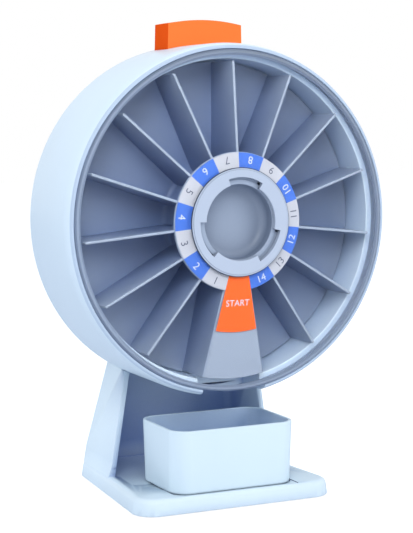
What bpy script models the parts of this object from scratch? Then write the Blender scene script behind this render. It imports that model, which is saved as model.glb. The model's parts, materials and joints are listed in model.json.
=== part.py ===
"""Rotary pill organizer on a desk stand: a drum with a turning pocket wheel, a push button that indexes
the wheel by one pocket through a rack, gear and ratchet, a clear lid with a bayonet lock ring, and a
catch cup under the outlet. Metres, +Z up, the front faces -Y, the origin is under the middle of the base."""

from math import acos, cos, degrees, pi, radians, sin, sqrt, tan

import bmesh
import bpy
from mathutils import Matrix, Vector

MM = 0.001

# Fits and shared settings
GAP = 0.3 * MM
OVERRUN = 2.0 * MM
MERGE = 0.01 * MM
EDGE_STEP = 0.4 * MM
FLAT_ANGLE = 0.002
ROUND_STEPS = 45
SMALL_STEPS = 16
FINE_STEPS = 8
BORE_STEPS = 30
SOFT_SEGMENTS = 2
SOFT_ANGLE = 35.0

# Drum
DRUM_RADIUS = 98.5 * MM
DRUM_DEPTH = 60.0 * MM
SHELL_WALL = 2.5 * MM
RIM_ROUND = 2.0 * MM
RIM_LIP = 0.6 * MM
RIM_STEPS = 2
SEAM_INSET = 3.4 * MM
LID_SEAT_WIDTH = 5.2 * MM
LINER_WALL = 2.3 * MM
SHELF_DEPTH = 7.5 * MM
SHELF_THICKNESS = 2.3 * MM
DRIVE_SPACE = 29.0 * MM
PARTITION_THICKNESS = 2.5 * MM
OUTLET_HALF_WIDTH = 19.5 * MM
CHUTE_WALL = 2.0 * MM
BOSS_RADIUS = 4.0 * MM
BOSS_INSET = 10.0 * MM
BOSS_COUNT = 4

# Back cover
COVER_THICKNESS = 2.7 * MM
KEYHOLE_SPACING = 70.0 * MM
KEYHOLE_HEIGHT = 45.0 * MM
KEYHOLE_RADIUS = 4.6 * MM
KEYHOLE_SLOT_WIDTH = 4.6 * MM
KEYHOLE_SLOT_LENGTH = 9.0 * MM

# Screws
SCREW_SHANK = 1.4 * MM
SCREW_HEAD = 2.9 * MM
SCREW_HEAD_THICKNESS = 1.3 * MM
SCREW_LENGTH = 8.0 * MM
SCREW_SLOT_WIDTH = 0.9 * MM
SCREW_SLOT_DEPTH = 0.6 * MM
HUB_SCREW_CIRCLE = 7.2 * MM
HUB_SCREW_COUNT = 3

# Hub core
CORE_RADIUS = 23.6 * MM
CORE_WALL = 2.8 * MM
CORE_FRONT = 4.9 * MM
RECESS_FLOOR = 4.5 * MM
JOURNAL_RADIUS = 11.8 * MM
JOURNAL_LAND = 0.8 * MM
EAR_COUNT = 3
EAR_ANGLE = 44.0
EAR_STEPS = 5
EAR_REACH = 1.6 * MM
EAR_THICKNESS = 2.0 * MM
EAR_STOP_ANGLE = 5.0
EAR_STOP_PLAY_ANGLE = 1.0
LOCK_ANGLE = 45.0

# Pocket wheel
SECTOR_COUNT = 15
WHEEL_CLEARANCE = 1.0 * MM
WHEEL_BORE_PLAY = 0.4 * MM
HUB_TUBE_WALL = 2.6 * MM
HUB_POCKET_WALL = 0.7 * MM
HUB_POCKET_DEPTH = 1.5 * MM
HUB_SLEEVE_WALL = 3.0 * MM
LEDGE_WIDTH = 9.0 * MM
LEDGE_THICKNESS = 1.8 * MM
WHEEL_FLOOR_THICKNESS = 2.3 * MM
DIVIDER_THICKNESS = 1.5 * MM
START_PLATE_THICKNESS = 1.6 * MM
START_WALL = 1.8 * MM
START_WINDOW_SHARE = 0.75
START_WINDOW_STEPS = 3
TUBE_PAST_RATCHET = 2.5 * MM
CLIP_GROOVE_DEPTH = 0.9 * MM

# Front cone that the wheel, its labels and the lid share
CONE_START_MARGIN = 0.8 * MM
CONE_SLOPE = 0.132
WHEEL_FRONT = 4.3 * MM
LABEL_THICKNESS = 0.4 * MM
LABEL_WIDTH = 7.3 * MM
START_LABEL_REACH = 30.5 * MM
LABEL_SECTOR_SHARE = 0.95

# Lid
LID_THICKNESS = 1.3 * MM
LID_HOLE_PLAY = 0.5 * MM
LID_SKIRT_WALL = 1.8 * MM
LID_BEAD_WIDTH = 4.6 * MM
LID_BEAD_HEIGHT = 1.5 * MM
LID_BEAD_CHAMFER = 1.0 * MM

# Lock ring
RING_LAP = 3.9 * MM
RING_FLANGE = 1.2 * MM
RING_STEP_WIDTH = 1.3 * MM
RING_STEP_HEIGHT = 0.4 * MM
RING_CHAMFER = 0.4 * MM
RING_BODY = 2.8 * MM
SKIRT_WALL = 0.8 * MM
NOTCH_REACH = 3.8 * MM
NOTCH_ANGLE = 50.0
NOTCH_STEPS = 8
NOTCH_START = 6.8
LUG_OFFSET_ANGLE = 60.0
LUG_THICKNESS = 1.6 * MM

# Button and drive train
INDEX_ANGLE = 360.0 / SECTOR_COUNT
GEAR_MODULE = 1.5 * MM
GEAR_TEETH = 28
PRESSURE_ANGLE = 20.0
BACKLASH = 0.5 * MM
GEAR_ADDENDUM_SHARE = 0.85
GEAR_ROOT_SHARE = 1.2
GEAR_THICKNESS = 4.0 * MM
GEAR_FLANK_STEPS = 2
SLEEVE_WALL = 3.0 * MM
SLEEVE_CLEARANCE = 0.5 * MM
ARM_WIDTH = 9.0 * MM
ARM_REACH = 40.0 * MM
BUTTON_HALF_WIDTH = 23.0 * MM
BUTTON_DRAFT = 0.5 * MM
BUTTON_DEPTH = 18.2 * MM
BUTTON_REAR_LAND = 4.3 * MM
BUTTON_PROUD = 14.0 * MM
BUTTON_ROUND = 0.9 * MM
BUTTON_TOP_STEPS = 10
BUTTON_WALL = 2.4 * MM
STOP_REACH = 3.6 * MM
STOP_THICKNESS = 3.0 * MM
RACK_BAR_WIDTH = 4.6 * MM
RACK_BELOW = 18.0 * MM
RACK_TEETH_ABOVE = 20.0 * MM
CROSS_ARM_THICKNESS = 3.4 * MM
POST_HALF_WIDTH = 5.0 * MM
SPRING_RADIUS = 4.5 * MM
SPRING_WIRE = 0.45 * MM
SPRING_TURNS = 6
SPRING_POINTS = 9
SPRING_WIRE_ROUNDNESS = 1
SPRING_LENGTH = 23.0 * MM
SPRING_SIDE = 4.0 * MM
SPRING_PEG_HALF_WIDTH = 2.4 * MM
SPRING_PEG_LENGTH = 4.0 * MM
SEAT_HALF_WIDTH = 6.5 * MM
SEAT_THICKNESS = 3.0 * MM
GUIDE_WIDTH = 3.0 * MM
GUIDE_HEIGHT = 8.0 * MM
GUIDE_LEVEL_SHARES = (0.38, 0.72)

# Ratchet
RATCHET_SPACE = 2.0 * MM
RATCHET_THICKNESS = 4.0 * MM
RATCHET_WALL = 1.9 * MM
RATCHET_TOOTH_HEIGHT = 2.4 * MM
KEY_COUNT = 3
KEY_WIDTH = 3.0 * MM
KEY_REACH = 1.9 * MM
CLIP_THICKNESS = 0.9 * MM
CLIP_PLAY = 0.1 * MM
CLIP_PROUD = 2.8 * MM
CLIP_OPENING_ANGLE = 50.0
FINGER_WIDTH = 1.3 * MM
FINGER_SWEEP_ANGLE = 34.0
FINGER_RISE = 4.8 * MM
FINGER_BLOCK = 5.0 * MM
FINGER_CLEARANCE = 0.5 * MM
FINGER_CURVE_POWER = 1.2
FINGER_STEPS = 7
FINGER_PIN = 1.5 * MM
FINGER_LEAD_ANGLE = 0.8
PAWL_TOOTH = 7
DETENT_TOOTH = 12
TOOTH_STEPS = 3

# Stand
BASE_OVERHANG = 8.5 * MM
BASE_BEHIND = 50.0 * MM
BASE_HALF_FRONT = 61.2 * MM
BASE_HALF_REAR = 53.6 * MM
BASE_THICKNESS = 9.3 * MM
BASE_FRONT_CORNER = 13.0 * MM
BASE_REAR_CORNER = 14.0 * MM
BASE_DRAFT = 0.8 * MM
BASE_EDGE_ROUND = 3.5 * MM
BASE_EDGE_STEPS = 3
BASE_FOOT_CHAMFER = 0.5 * MM
BASE_FLOOR = 2.6 * MM
CORNER_STEPS = 4
TRAY_DEPTH = 1.2 * MM
TRAY_PLAY = 0.5 * MM
TRAY_LIP_HEIGHT = 0.5 * MM
TRAY_HALF_REAR = 49.3 * MM
TRAY_NECK = 13.7 * MM
TRAY_FLARE = 24.0 * MM
TRAY_FLARE_STEPS = 6
TOWER_LAP = 5.5 * MM
TOWER_HALF_LOW = 51.4 * MM
TOWER_HALF_TOP = 30.8 * MM
TOWER_LOW = 20.0 * MM
TOWER_TOE_SHARE = 0.015
TOWER_CORNER = 7.0 * MM
TOWER_FOOT_INSET = 0.3 * MM
TOWER_FLARE_SHARES = ((0.3, 0.55), (0.62, 0.2))
TOWER_WALL = 3.0 * MM
TOWER_TOP_THICKNESS = 4.1 * MM
TOWER_REAR_INSET = 0.4 * MM
TOWER_DROP = 8.0 * MM
HEAD_BLOCK = 26.0 * MM
UNDERSIDE_MARGIN = 24.0 * MM
STAND_SCREW_SPACING = 24.0 * MM
STAND_SCREW_DROP = 20.0 * MM
STAND_SCREW_SEAT = 3.6 * MM
COVER_BOSS_HEIGHT = 6.3 * MM
PAD_RADIUS = 6.0 * MM
PAD_THICKNESS = 1.8 * MM
PAD_PROUD = 0.8 * MM
PAD_INSET = 14.0 * MM

# Cup
CUP_HALF_RIM = 38.7 * MM
CUP_HALF_FOOT = 37.7 * MM
CUP_OVERHANG = 4.2 * MM
CUP_TOWER_SPACE = 6.9 * MM
CUP_HEIGHT = 36.2 * MM
CUP_HEADROOM = 16.3 * MM
CUP_CORNER = 10.5 * MM
CUP_WALL = 1.8 * MM
CUP_EDGE = 1.2 * MM
CUP_SMOOTH_ANGLE = 40.0

# Derived places: the drum axis runs along Y, and a depth is counted back from the lid seam
BASE_DEPTH = BASE_OVERHANG + DRUM_DEPTH + BASE_BEHIND
SEAM_Y = BASE_OVERHANG - BASE_DEPTH / 2
SEAM_RADIUS = DRUM_RADIUS - SEAM_INSET
LINER_RADIUS = SEAM_RADIUS - LID_SEAT_WIDTH
SHELL_BORE = DRUM_RADIUS - SHELL_WALL
BOSS_CIRCLE = SHELL_BORE - BOSS_INSET
PARTITION_DEPTH = DRUM_DEPTH - DRIVE_SPACE
PARTITION_REAR = PARTITION_DEPTH + PARTITION_THICKNESS
RATCHET_DEPTH = PARTITION_REAR + RATCHET_SPACE
TUBE_END = RATCHET_DEPTH + RATCHET_THICKNESS + TUBE_PAST_RATCHET
JOURNAL_START = TUBE_END + JOURNAL_LAND
GEAR_DEPTH = JOURNAL_START + GAP
CORE_BORE = CORE_RADIUS - CORE_WALL
SKIRT_RADIUS = CORE_RADIUS + EAR_REACH + GAP + SKIRT_WALL
RING_RADIUS = SKIRT_RADIUS + RING_LAP
RING_HOLE_RADIUS = CORE_BORE + GAP
NOTCH_RADIUS = RING_HOLE_RADIUS + NOTCH_REACH
LID_HOLE_RADIUS = SKIRT_RADIUS + LID_HOLE_PLAY
CONE_INNER_RADIUS = RING_RADIUS + CONE_START_MARGIN
WHEEL_RADIUS = LINER_RADIUS - WHEEL_CLEARANCE
WHEEL_BORE = CORE_RADIUS + WHEEL_BORE_PLAY
HUB_TUBE_RADIUS = WHEEL_BORE + HUB_TUBE_WALL
HUB_POCKET_RADIUS = HUB_TUBE_RADIUS + HUB_POCKET_WALL
HUB_SLEEVE_RADIUS = HUB_TUBE_RADIUS + HUB_SLEEVE_WALL
LEDGE_RADIUS = HUB_SLEEVE_RADIUS + LEDGE_WIDTH
RATCHET_BORE = HUB_TUBE_RADIUS + GAP
RATCHET_ROOT = RATCHET_BORE + RATCHET_WALL
RATCHET_TIP = RATCHET_ROOT + RATCHET_TOOTH_HEIGHT
CLIP_RADIUS = HUB_TUBE_RADIUS + CLIP_PROUD
FINGER_BASE_RADIUS = RATCHET_TIP + FINGER_RISE
SECTOR_STEPS = ROUND_STEPS // SECTOR_COUNT
PITCH_RADIUS = GEAR_MODULE * GEAR_TEETH / 2
COVER_DEPTH = DRUM_DEPTH - COVER_THICKNESS
BUTTON_FRONT = DRUM_DEPTH - BUTTON_REAR_LAND - BUTTON_DEPTH
BUTTON_RADIUS = DRUM_RADIUS + BUTTON_PROUD
BUTTON_HALF_FOOT = BUTTON_HALF_WIDTH + BUTTON_DRAFT
TOWER_FRONT = DRUM_DEPTH - TOWER_LAP
CUP_RIM_DEPTH = TOWER_FRONT + CUP_OVERHANG - CUP_TOWER_SPACE
CUP_DRAFT = CUP_HALF_RIM - CUP_HALF_FOOT
FLOOR_DEPTH = PARTITION_DEPTH - GAP - WHEEL_FLOOR_THICKNESS
LABEL_LIFT = GAP + LABEL_THICKNESS
LID_UNDERSIDE = WHEEL_FRONT + LABEL_LIFT + GAP
LID_FRONT = LID_UNDERSIDE + LID_THICKNESS
RING_REAR = LID_FRONT + GAP
RING_FRONT = RING_REAR + RING_FLANGE
RACK_X = -PITCH_RADIUS
RACK_ROOT_X = RACK_X - GEAR_ROOT_SHARE * GEAR_MODULE
STOP_TOP = sqrt((SHELL_BORE - GAP) ** 2 - (BUTTON_HALF_FOOT + STOP_REACH) ** 2) - GAP
CROSS_ARM_TOP = STOP_TOP - STOP_THICKNESS - GAP
CROSS_ARM_BOTTOM = CROSS_ARM_TOP - CROSS_ARM_THICKNESS
SEAT_TOP = CROSS_ARM_BOTTOM - SPRING_LENGTH - 2 * GAP
BASE_TOP = PAD_PROUD + BASE_THICKNESS
TRAY_LEVEL = BASE_TOP - TRAY_DEPTH
TRAY_HALF_FRONT = CUP_HALF_FOOT + TRAY_PLAY
TOE_SHARE = (BASE_HALF_FRONT - BASE_HALF_REAR) / BASE_DEPTH
AXIS_HEIGHT = TRAY_LEVEL + GAP + CUP_HEIGHT + CUP_HEADROOM + DRUM_RADIUS
DRUM_CENTRE = Vector((0.0, SEAM_Y, AXIS_HEIGHT))

for old in list(bpy.data.objects):
    bpy.data.objects.remove(old, do_unlink=True)

product = bpy.data.collections.new("pill_organizer")
tools = bpy.data.collections.new("cutters")
bpy.context.scene.collection.children.link(product)
bpy.context.scene.collection.children.link(tools)


def material(name, colour, roughness, metallic=0.0, transmission=0.0):
    """A plain Principled finish."""
    mat = bpy.data.materials.new(name)
    mat.use_nodes = True
    shader = mat.node_tree.nodes["Principled BSDF"]
    shader.inputs["Base Color"].default_value = (*colour, 1.0)
    shader.inputs["Roughness"].default_value = roughness
    shader.inputs["Metallic"].default_value = metallic
    shader.inputs["Transmission Weight"].default_value = transmission
    return mat


PALE_BLUE = material("pale_blue_plastic", (0.66, 0.79, 0.90), 0.42)
CUP_BLUE = material("cup_blue_plastic", (0.68, 0.83, 0.93), 0.40)
WHEEL_GREY = material("wheel_plastic", (0.55, 0.63, 0.76), 0.38)
CLEAR = material("clear_lid_plastic", (0.93, 0.96, 0.98), 0.05, transmission=1.0)
ORANGE = material("orange_button_plastic", (1.0, 0.24, 0.06), 0.35)
LABEL_PRINT = material("number_label_print", (0.82, 0.84, 0.90), 0.5)
START_PRINT = material("start_label_print", (1.0, 0.17, 0.03), 0.45)
INNER_WHITE = material("acetal_drive_plastic", (0.86, 0.86, 0.84), 0.4)
SPRING_STEEL = material("spring_steel", (0.62, 0.62, 0.63), 0.3, metallic=1.0)
ZINC = material("zinc_screw_steel", (0.55, 0.56, 0.58), 0.35, metallic=1.0)
PAD_RUBBER = material("pad_rubber", (0.06, 0.06, 0.07), 0.8)


def place(mesh, name, mat, collection=product):
    """Link a mesh as one object of the product, or as a hidden cutter."""
    obj = bpy.data.objects.new(name, mesh)
    if mat:
        mesh.materials.append(mat)
    collection.objects.link(obj)
    if collection is tools:
        obj.hide_render = True
        obj.display_type = "WIRE"
    return obj


def settle(obj):
    """Replace an object's modifiers by their evaluated mesh, keeping the object."""
    graph = bpy.context.evaluated_depsgraph_get()
    graph.update()
    mesh = bpy.data.meshes.new_from_object(obj.evaluated_get(graph))
    obj.modifiers.clear()
    obj.data = mesh
    return obj


def close_poles(mesh):
    """Turn the fan of faces round each point on the turning axis into one face."""
    bm = bmesh.new()
    bm.from_mesh(mesh)
    poles = [v for v in bm.verts if v.co.xy.length < MERGE]
    bmesh.ops.dissolve_verts(bm, verts=poles)
    bm.to_mesh(mesh)
    bm.free()


def turned(name, profile, mat=None, collection=product, steps=ROUND_STEPS, sweep=360.0, start=0.0):
    """Revolve a closed profile of (radius, depth) about the drum axis. The profile runs out along the
    front, back along its outer side, in along the rear and forward along the bore. Angles count
    clockwise from straight down, seen from the front, and the turning begins at start."""
    bm = bmesh.new()
    verts = [bm.verts.new((r, 0.0, -depth)) for r, depth in profile]
    whole = sweep == 360.0
    if whole:
        for a, b in zip(verts, verts[1:] + verts[:1]):
            if a.co.x > 0.0 or b.co.x > 0.0:
                bm.edges.new((a, b))
    else:
        bm.faces.new(verts)
        bmesh.ops.spin(bm, geom=bm.faces[:] + bm.edges[:] + bm.verts[:], cent=(0.0, 0.0, 0.0),
                       axis=(0.0, 0.0, 1.0), angle=-radians(sweep), steps=steps)
        bmesh.ops.remove_doubles(bm, verts=bm.verts[:], dist=MERGE)
    mesh = bpy.data.meshes.new(name)
    bm.to_mesh(mesh)
    bm.free()
    obj = place(mesh, name, mat, collection)
    if whole:
        screw = obj.modifiers.new("turn", "SCREW")
        screw.axis = "Z"
        screw.steps = screw.render_steps = steps
        screw.use_merge_vertices = True
        screw.merge_threshold = MERGE
        settle(obj)
        close_poles(obj.data)
    to_drum = Matrix.Translation(DRUM_CENTRE) @ Matrix.Rotation(pi / 2 + radians(start), 4, "Y")
    obj.data.transform(to_drum @ Matrix.Rotation(pi / 2, 4, "X"))
    outward(obj)
    return obj


def outward(obj):
    """Make a closed mesh's faces point out."""
    bm = bmesh.new()
    bm.from_mesh(obj.data)
    bmesh.ops.recalc_face_normals(bm, faces=bm.faces[:])
    if bm.calc_volume(signed=True) < 0:
        bmesh.ops.reverse_faces(bm, faces=bm.faces[:])
    bm.to_mesh(obj.data)
    bm.free()


def box(name, low, high, mat=None, collection=tools):
    """A box between two corners."""
    bm = bmesh.new()
    bmesh.ops.create_cube(bm, size=1.0)
    low, high = Vector(low), Vector(high)
    bmesh.ops.scale(bm, vec=high - low, verts=bm.verts[:])
    bmesh.ops.translate(bm, vec=(high + low) / 2, verts=bm.verts[:])
    mesh = bpy.data.meshes.new(name)
    bm.to_mesh(mesh)
    bm.free()
    return place(mesh, name, mat, collection)


def drum_box(name, low, high, mat=None, collection=tools):
    """A box between two corners counted from the drum axis: across, depth and height."""
    return box(name, Vector(low) + DRUM_CENTRE, Vector(high) + DRUM_CENTRE, mat, collection)


def rod(name, radius, depth_from, depth_to, across, up, mat=None, collection=tools, steps=SMALL_STEPS):
    """A cylinder along the depth, its centre counted from the drum axis."""
    bm = bmesh.new()
    bmesh.ops.create_cone(bm, cap_ends=True, segments=steps, radius1=radius, radius2=radius,
                          depth=depth_to - depth_from)
    mesh = bpy.data.meshes.new(name)
    bm.to_mesh(mesh)
    bm.free()
    spot = DRUM_CENTRE + Vector((across, (depth_from + depth_to) / 2, up))
    mesh.transform(Matrix.Translation(spot) @ Matrix.Rotation(pi / 2, 4, "X"))
    return place(mesh, name, mat, collection)


def extruded(name, loops, thickness, frame, mat=None, collection=product):
    """Extrude closed loops, drawn in the frame's XY plane, by half the thickness to each side of it."""
    curve = bpy.data.curves.new(name, "CURVE")
    curve.dimensions = "2D"
    curve.fill_mode = "BOTH"
    curve.extrude = thickness / 2
    for loop in loops:
        spline = curve.splines.new("POLY")
        spline.points.add(len(loop) - 1)
        for point, (x, y) in zip(spline.points, loop):
            point.co = (x, y, 0.0, 1.0)
        spline.use_cyclic_u = True
    drawn = bpy.data.objects.new(name + "_outline", curve)
    tools.objects.link(drawn)
    mesh = bpy.data.meshes.new_from_object(drawn.evaluated_get(bpy.context.evaluated_depsgraph_get()))
    bpy.data.objects.remove(drawn, do_unlink=True)
    mesh.transform(frame)
    mesh.materials.clear()
    bm = bmesh.new()
    bm.from_mesh(mesh)
    bmesh.ops.remove_doubles(bm, verts=bm.verts[:], dist=MERGE)
    bm.to_mesh(mesh)
    bm.free()
    obj = place(mesh, name, mat, collection)
    outward(obj)
    return obj


def plate(name, outline, depth_from, depth_to, mat=None, collection=product, holes=()):
    """A flat piece square to the drum axis, from an outline of (across, up) points."""
    middle = DRUM_CENTRE + Vector((0.0, (depth_from + depth_to) / 2, 0.0))
    frame = Matrix.Translation(middle) @ Matrix.Rotation(pi / 2, 4, "X")
    return extruded(name, (outline, *holes), depth_to - depth_from, frame, mat, collection)


def fin(name, profile, thickness, angle, mat=None, collection=product):
    """A flat wall along a radius of the drum, from a profile of (radius, depth) points."""
    turn = Matrix.Rotation(pi / 2 + radians(angle), 4, "Y")
    return extruded(name, (profile,), thickness, Matrix.Translation(DRUM_CENTRE) @ turn, mat, collection)


def slab(name, outline, low, high, mat=None, collection=product):
    """A flat piece lying level, from an outline of (x, y) points, between two heights."""
    frame = Matrix.Translation((0.0, 0.0, (low + high) / 2))
    return extruded(name, (outline,), high - low, frame, mat, collection)


def polar(radius, angle):
    """Across and up of a point at an angle in degrees, clockwise from straight down as seen in front."""
    a = radians(angle)
    return (-radius * sin(a), -radius * cos(a))


def arc(radius, start, end, steps):
    """Points on a circle about the drum axis."""
    return [polar(radius, start + (end - start) * i / steps) for i in range(steps + 1)]


def bend(centre_a, centre_b, size, start, end, steps):
    """Points of a round corner in a profile or an outline, its centre given, angles in degrees."""
    turns = [radians(start + (end - start) * i / steps) for i in range(steps + 1)]
    return [(centre_a + size * cos(t), centre_b + size * sin(t)) for t in turns]


def spoke(name, radius_from, radius_to, width, depth_from, depth_to, angle, mat=None, collection=tools):
    """A block lying along a radius of the drum."""
    turn = radians(angle)
    half = width / 2
    corners = ((radius_from, -half), (radius_to, -half), (radius_to, half), (radius_from, half))
    outline = [(-r * sin(turn) + t * cos(turn), -r * cos(turn) - t * sin(turn)) for r, t in corners]
    return plate(name, outline, depth_from, depth_to, mat, collection)


def combine(obj, others, operation):
    """Join or cut with other solids, which then leave the scene."""
    for other in others:
        step = obj.modifiers.new(operation.lower(), "BOOLEAN")
        step.operation = operation
        step.solver = "EXACT"
        step.object = other
        if other.name not in tools.objects:
            product.objects.unlink(other)
            tools.objects.link(other)
        other.hide_render = True
        other.display_type = "WIRE"
    settle(obj)
    for other in others:
        bpy.data.objects.remove(other, do_unlink=True)
    return obj


def cut(obj, *others):
    return combine(obj, others, "DIFFERENCE")


def join(obj, *others):
    return combine(obj, others, "UNION")


def soften(obj, width, segments=SOFT_SEGMENTS, angle=SOFT_ANGLE):
    """Round the sharp edges."""
    bevel = obj.modifiers.new("edge", "BEVEL")
    bevel.width = width
    bevel.segments = segments
    bevel.limit_method = "ANGLE"
    bevel.angle_limit = radians(angle)
    settle(obj)
    return obj


def shade(obj, angle=SOFT_ANGLE):
    """Merge faces that lie in one plane, and shade smooth but for the sharp edges."""
    bm = bmesh.new()
    bm.from_mesh(obj.data)
    bmesh.ops.dissolve_limit(bm, angle_limit=FLAT_ANGLE, verts=bm.verts[:], edges=bm.edges[:])
    bm.to_mesh(obj.data)
    bm.free()
    obj.data.shade_smooth()
    obj.data.set_sharp_from_angle(angle=radians(angle))
    return obj


def cone_front(radius, lift=0.0):
    """Depth of the wheel's conical front at a radius, raised towards the viewer by a lift."""
    return -WHEEL_FRONT + CONE_SLOPE * (radius - CONE_INNER_RADIUS) - lift


def screw_places():
    """Where the screws go: the name, across, up, and the depth of the seat under the head."""
    sunk = DRUM_DEPTH - SCREW_HEAD_THICKNESS - GAP
    places = []
    for i in range(BOSS_COUNT):
        x, z = polar(BOSS_CIRCLE, 360.0 * (i + 0.5) / BOSS_COUNT)
        places.append((f"cover_screw_{i + 1}", x, z, sunk))
    for i in range(HUB_SCREW_COUNT):
        x, z = polar(HUB_SCREW_CIRCLE, 360.0 * (i + 0.5) / HUB_SCREW_COUNT)
        places.append((f"hub_screw_{i + 1}", x, z, sunk))
    for i, side in enumerate((-1, 1)):
        seat = DRUM_DEPTH + GAP + STAND_SCREW_SEAT
        places.append((f"stand_screw_{i + 1}", side * STAND_SCREW_SPACING / 2, -STAND_SCREW_DROP, seat))
    return places


def screw_holes(kinds, extra=0.0):
    """Cutters for the shanks of some screws, reaching a little past their tips."""
    return [rod("hole", SCREW_SHANK + GAP, seat - SCREW_LENGTH - GAP, seat + OVERRUN + extra, x, z,
                steps=FINE_STEPS)
            for name, x, z, seat in screw_places() if name.startswith(kinds)]


def head_holes(kinds, depth):
    """Cutters for the heads of some screws, from their seats back past a depth."""
    return [rod("head_hole", SCREW_HEAD + GAP, seat - GAP, depth + OVERRUN, x, z)
            for name, x, z, seat in screw_places() if name.startswith(kinds)]


def make_housing():
    """Front shell: outer wall, stepped seat for the lid, liner round the wheel and a partition behind it."""
    liner_outer = LINER_RADIUS + LINER_WALL
    shelf_rear = SHELF_DEPTH + SHELF_THICKNESS
    hub_hole = HUB_TUBE_RADIUS + 2 * GAP
    profile = [
        (SEAM_RADIUS, RIM_LIP),
        (SEAM_RADIUS + RIM_LIP, 0.0),
        *bend(DRUM_RADIUS - RIM_ROUND, RIM_ROUND, RIM_ROUND, -90.0, 0.0, RIM_STEPS),
        *bend(DRUM_RADIUS - RIM_ROUND, DRUM_DEPTH - RIM_ROUND, RIM_ROUND, 0.0, 90.0, 1),
        (SHELL_BORE, DRUM_DEPTH),
        (SHELL_BORE, shelf_rear),
        (liner_outer, shelf_rear),
        (liner_outer, PARTITION_REAR),
        (hub_hole, PARTITION_REAR),
        (hub_hole, PARTITION_DEPTH),
        (LINER_RADIUS, PARTITION_DEPTH),
        (LINER_RADIUS, SHELF_DEPTH),
        (SEAM_RADIUS, SHELF_DEPTH),
    ]
    shell = turned("drum_housing", profile, PALE_BLUE)

    inside = PARTITION_REAR - PARTITION_THICKNESS / 2
    chute_middle = OUTLET_HALF_WIDTH + CHUTE_WALL / 2
    chute_low = -sqrt((SHELL_BORE + SHELL_WALL / 2) ** 2 - (OUTLET_HALF_WIDTH + CHUTE_WALL) ** 2)
    chute_high = -sqrt((LINER_RADIUS + LINER_WALL / 2) ** 2 - chute_middle**2)
    chute = [drum_box("chute_rear", (-chute_middle, FLOOR_DEPTH, chute_low),
                      (chute_middle, inside, -LINER_RADIUS - LINER_WALL / 2))]
    side_front = SHELF_DEPTH + SHELF_THICKNESS / 2
    for left in (-OUTLET_HALF_WIDTH - CHUTE_WALL, OUTLET_HALF_WIDTH):
        chute.append(drum_box("chute_side", (left, side_front, chute_low - EDGE_STEP / 2),
                              (left + CHUTE_WALL, inside - EDGE_STEP, chute_high)))
    bosses = []
    for i in range(BOSS_COUNT):
        x, z = polar(BOSS_CIRCLE, 360.0 * (i + 0.5) / BOSS_COUNT)
        bosses.append(rod("boss", BOSS_RADIUS, inside, COVER_DEPTH - GAP, x, z))
    guide_rear = GEAR_DEPTH + GEAR_THICKNESS
    bar_left = RACK_ROOT_X - RACK_BAR_WIDTH
    guides = []
    for share in GUIDE_LEVEL_SHARES:
        low = CROSS_ARM_TOP * share
        for left in (bar_left - GAP - GUIDE_WIDTH, RACK_ROOT_X + GAP):
            guides.append(drum_box("guide", (left, inside, low),
                                   (left + GUIDE_WIDTH, guide_rear, low + GUIDE_HEIGHT)))
    middle = GEAR_DEPTH + GEAR_THICKNESS / 2
    seat = drum_box("seat", (SPRING_SIDE - SEAT_HALF_WIDTH, inside, SEAT_TOP - SEAT_THICKNESS),
                    (SPRING_SIDE + SEAT_HALF_WIDTH, middle + SPRING_RADIUS + SPRING_WIRE + GAP, SEAT_TOP))
    peg = drum_box("peg", (SPRING_SIDE - SPRING_PEG_HALF_WIDTH, GEAR_DEPTH, SEAT_TOP - SEAT_THICKNESS / 2),
                   (SPRING_SIDE + SPRING_PEG_HALF_WIDTH, guide_rear, SEAT_TOP + SPRING_PEG_LENGTH))
    join(shell, *chute, *bosses, *guides, seat, peg)

    outlet_top = -sqrt(LINER_RADIUS**2 - OUTLET_HALF_WIDTH**2) + OVERRUN
    outlet = drum_box("outlet", (-OUTLET_HALF_WIDTH, -OVERRUN, -DRUM_RADIUS - OVERRUN),
                      (OUTLET_HALF_WIDTH, FLOOR_DEPTH, outlet_top))
    slot_half = BUTTON_HALF_FOOT + GAP
    slot = drum_box("button_slot", (-slot_half, BUTTON_FRONT - GAP, STOP_TOP),
                    (slot_half, BUTTON_FRONT + BUTTON_DEPTH + GAP, DRUM_RADIUS + OVERRUN))
    x, z = polar(FINGER_BASE_RADIUS, finger_base(DETENT_TOOTH))
    pin_hole = rod("pin_hole", FINGER_PIN + GAP, PARTITION_DEPTH - OVERRUN, PARTITION_REAR + OVERRUN, x, z)
    cut(shell, outlet, slot, pin_hole, *screw_holes("cover_screw"))
    shade(shell)


def make_cover():
    """Back cover inside the shell's rear edge, with keyholes for a wall and bosses for the stand."""
    rim = arc(SHELL_BORE - GAP, 0.0, 360.0, ROUND_STEPS)[:-1]
    cover = plate("back_cover", rim, COVER_DEPTH, DRUM_DEPTH, PALE_BLUE)
    bosses = [rod("boss", BOSS_RADIUS, COVER_DEPTH - COVER_BOSS_HEIGHT, COVER_DEPTH + COVER_THICKNESS / 2,
                  side * STAND_SCREW_SPACING / 2, -STAND_SCREW_DROP) for side in (-1, 1)]
    join(cover, *bosses)
    cutters = screw_holes(("cover_screw", "hub_screw", "stand_screw"))
    cutters += head_holes(("cover_screw", "hub_screw"), DRUM_DEPTH)
    front, rear = COVER_DEPTH - OVERRUN, DRUM_DEPTH + OVERRUN
    half = KEYHOLE_SLOT_WIDTH / 2
    lean = 90.0 - degrees(acos(half / KEYHOLE_RADIUS))
    for side in (-1, 1):
        x = side * KEYHOLE_SPACING / 2
        outline = bend(x, KEYHOLE_HEIGHT, KEYHOLE_RADIUS, 90.0 + lean, 450.0 - lean, SMALL_STEPS)
        outline += bend(x, KEYHOLE_HEIGHT + KEYHOLE_SLOT_LENGTH - half, half, 0.0, 180.0, CORNER_STEPS)
        cutters.append(plate("keyhole", outline, front, rear, collection=tools))
    cut(cover, *cutters)
    shade(cover)


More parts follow.
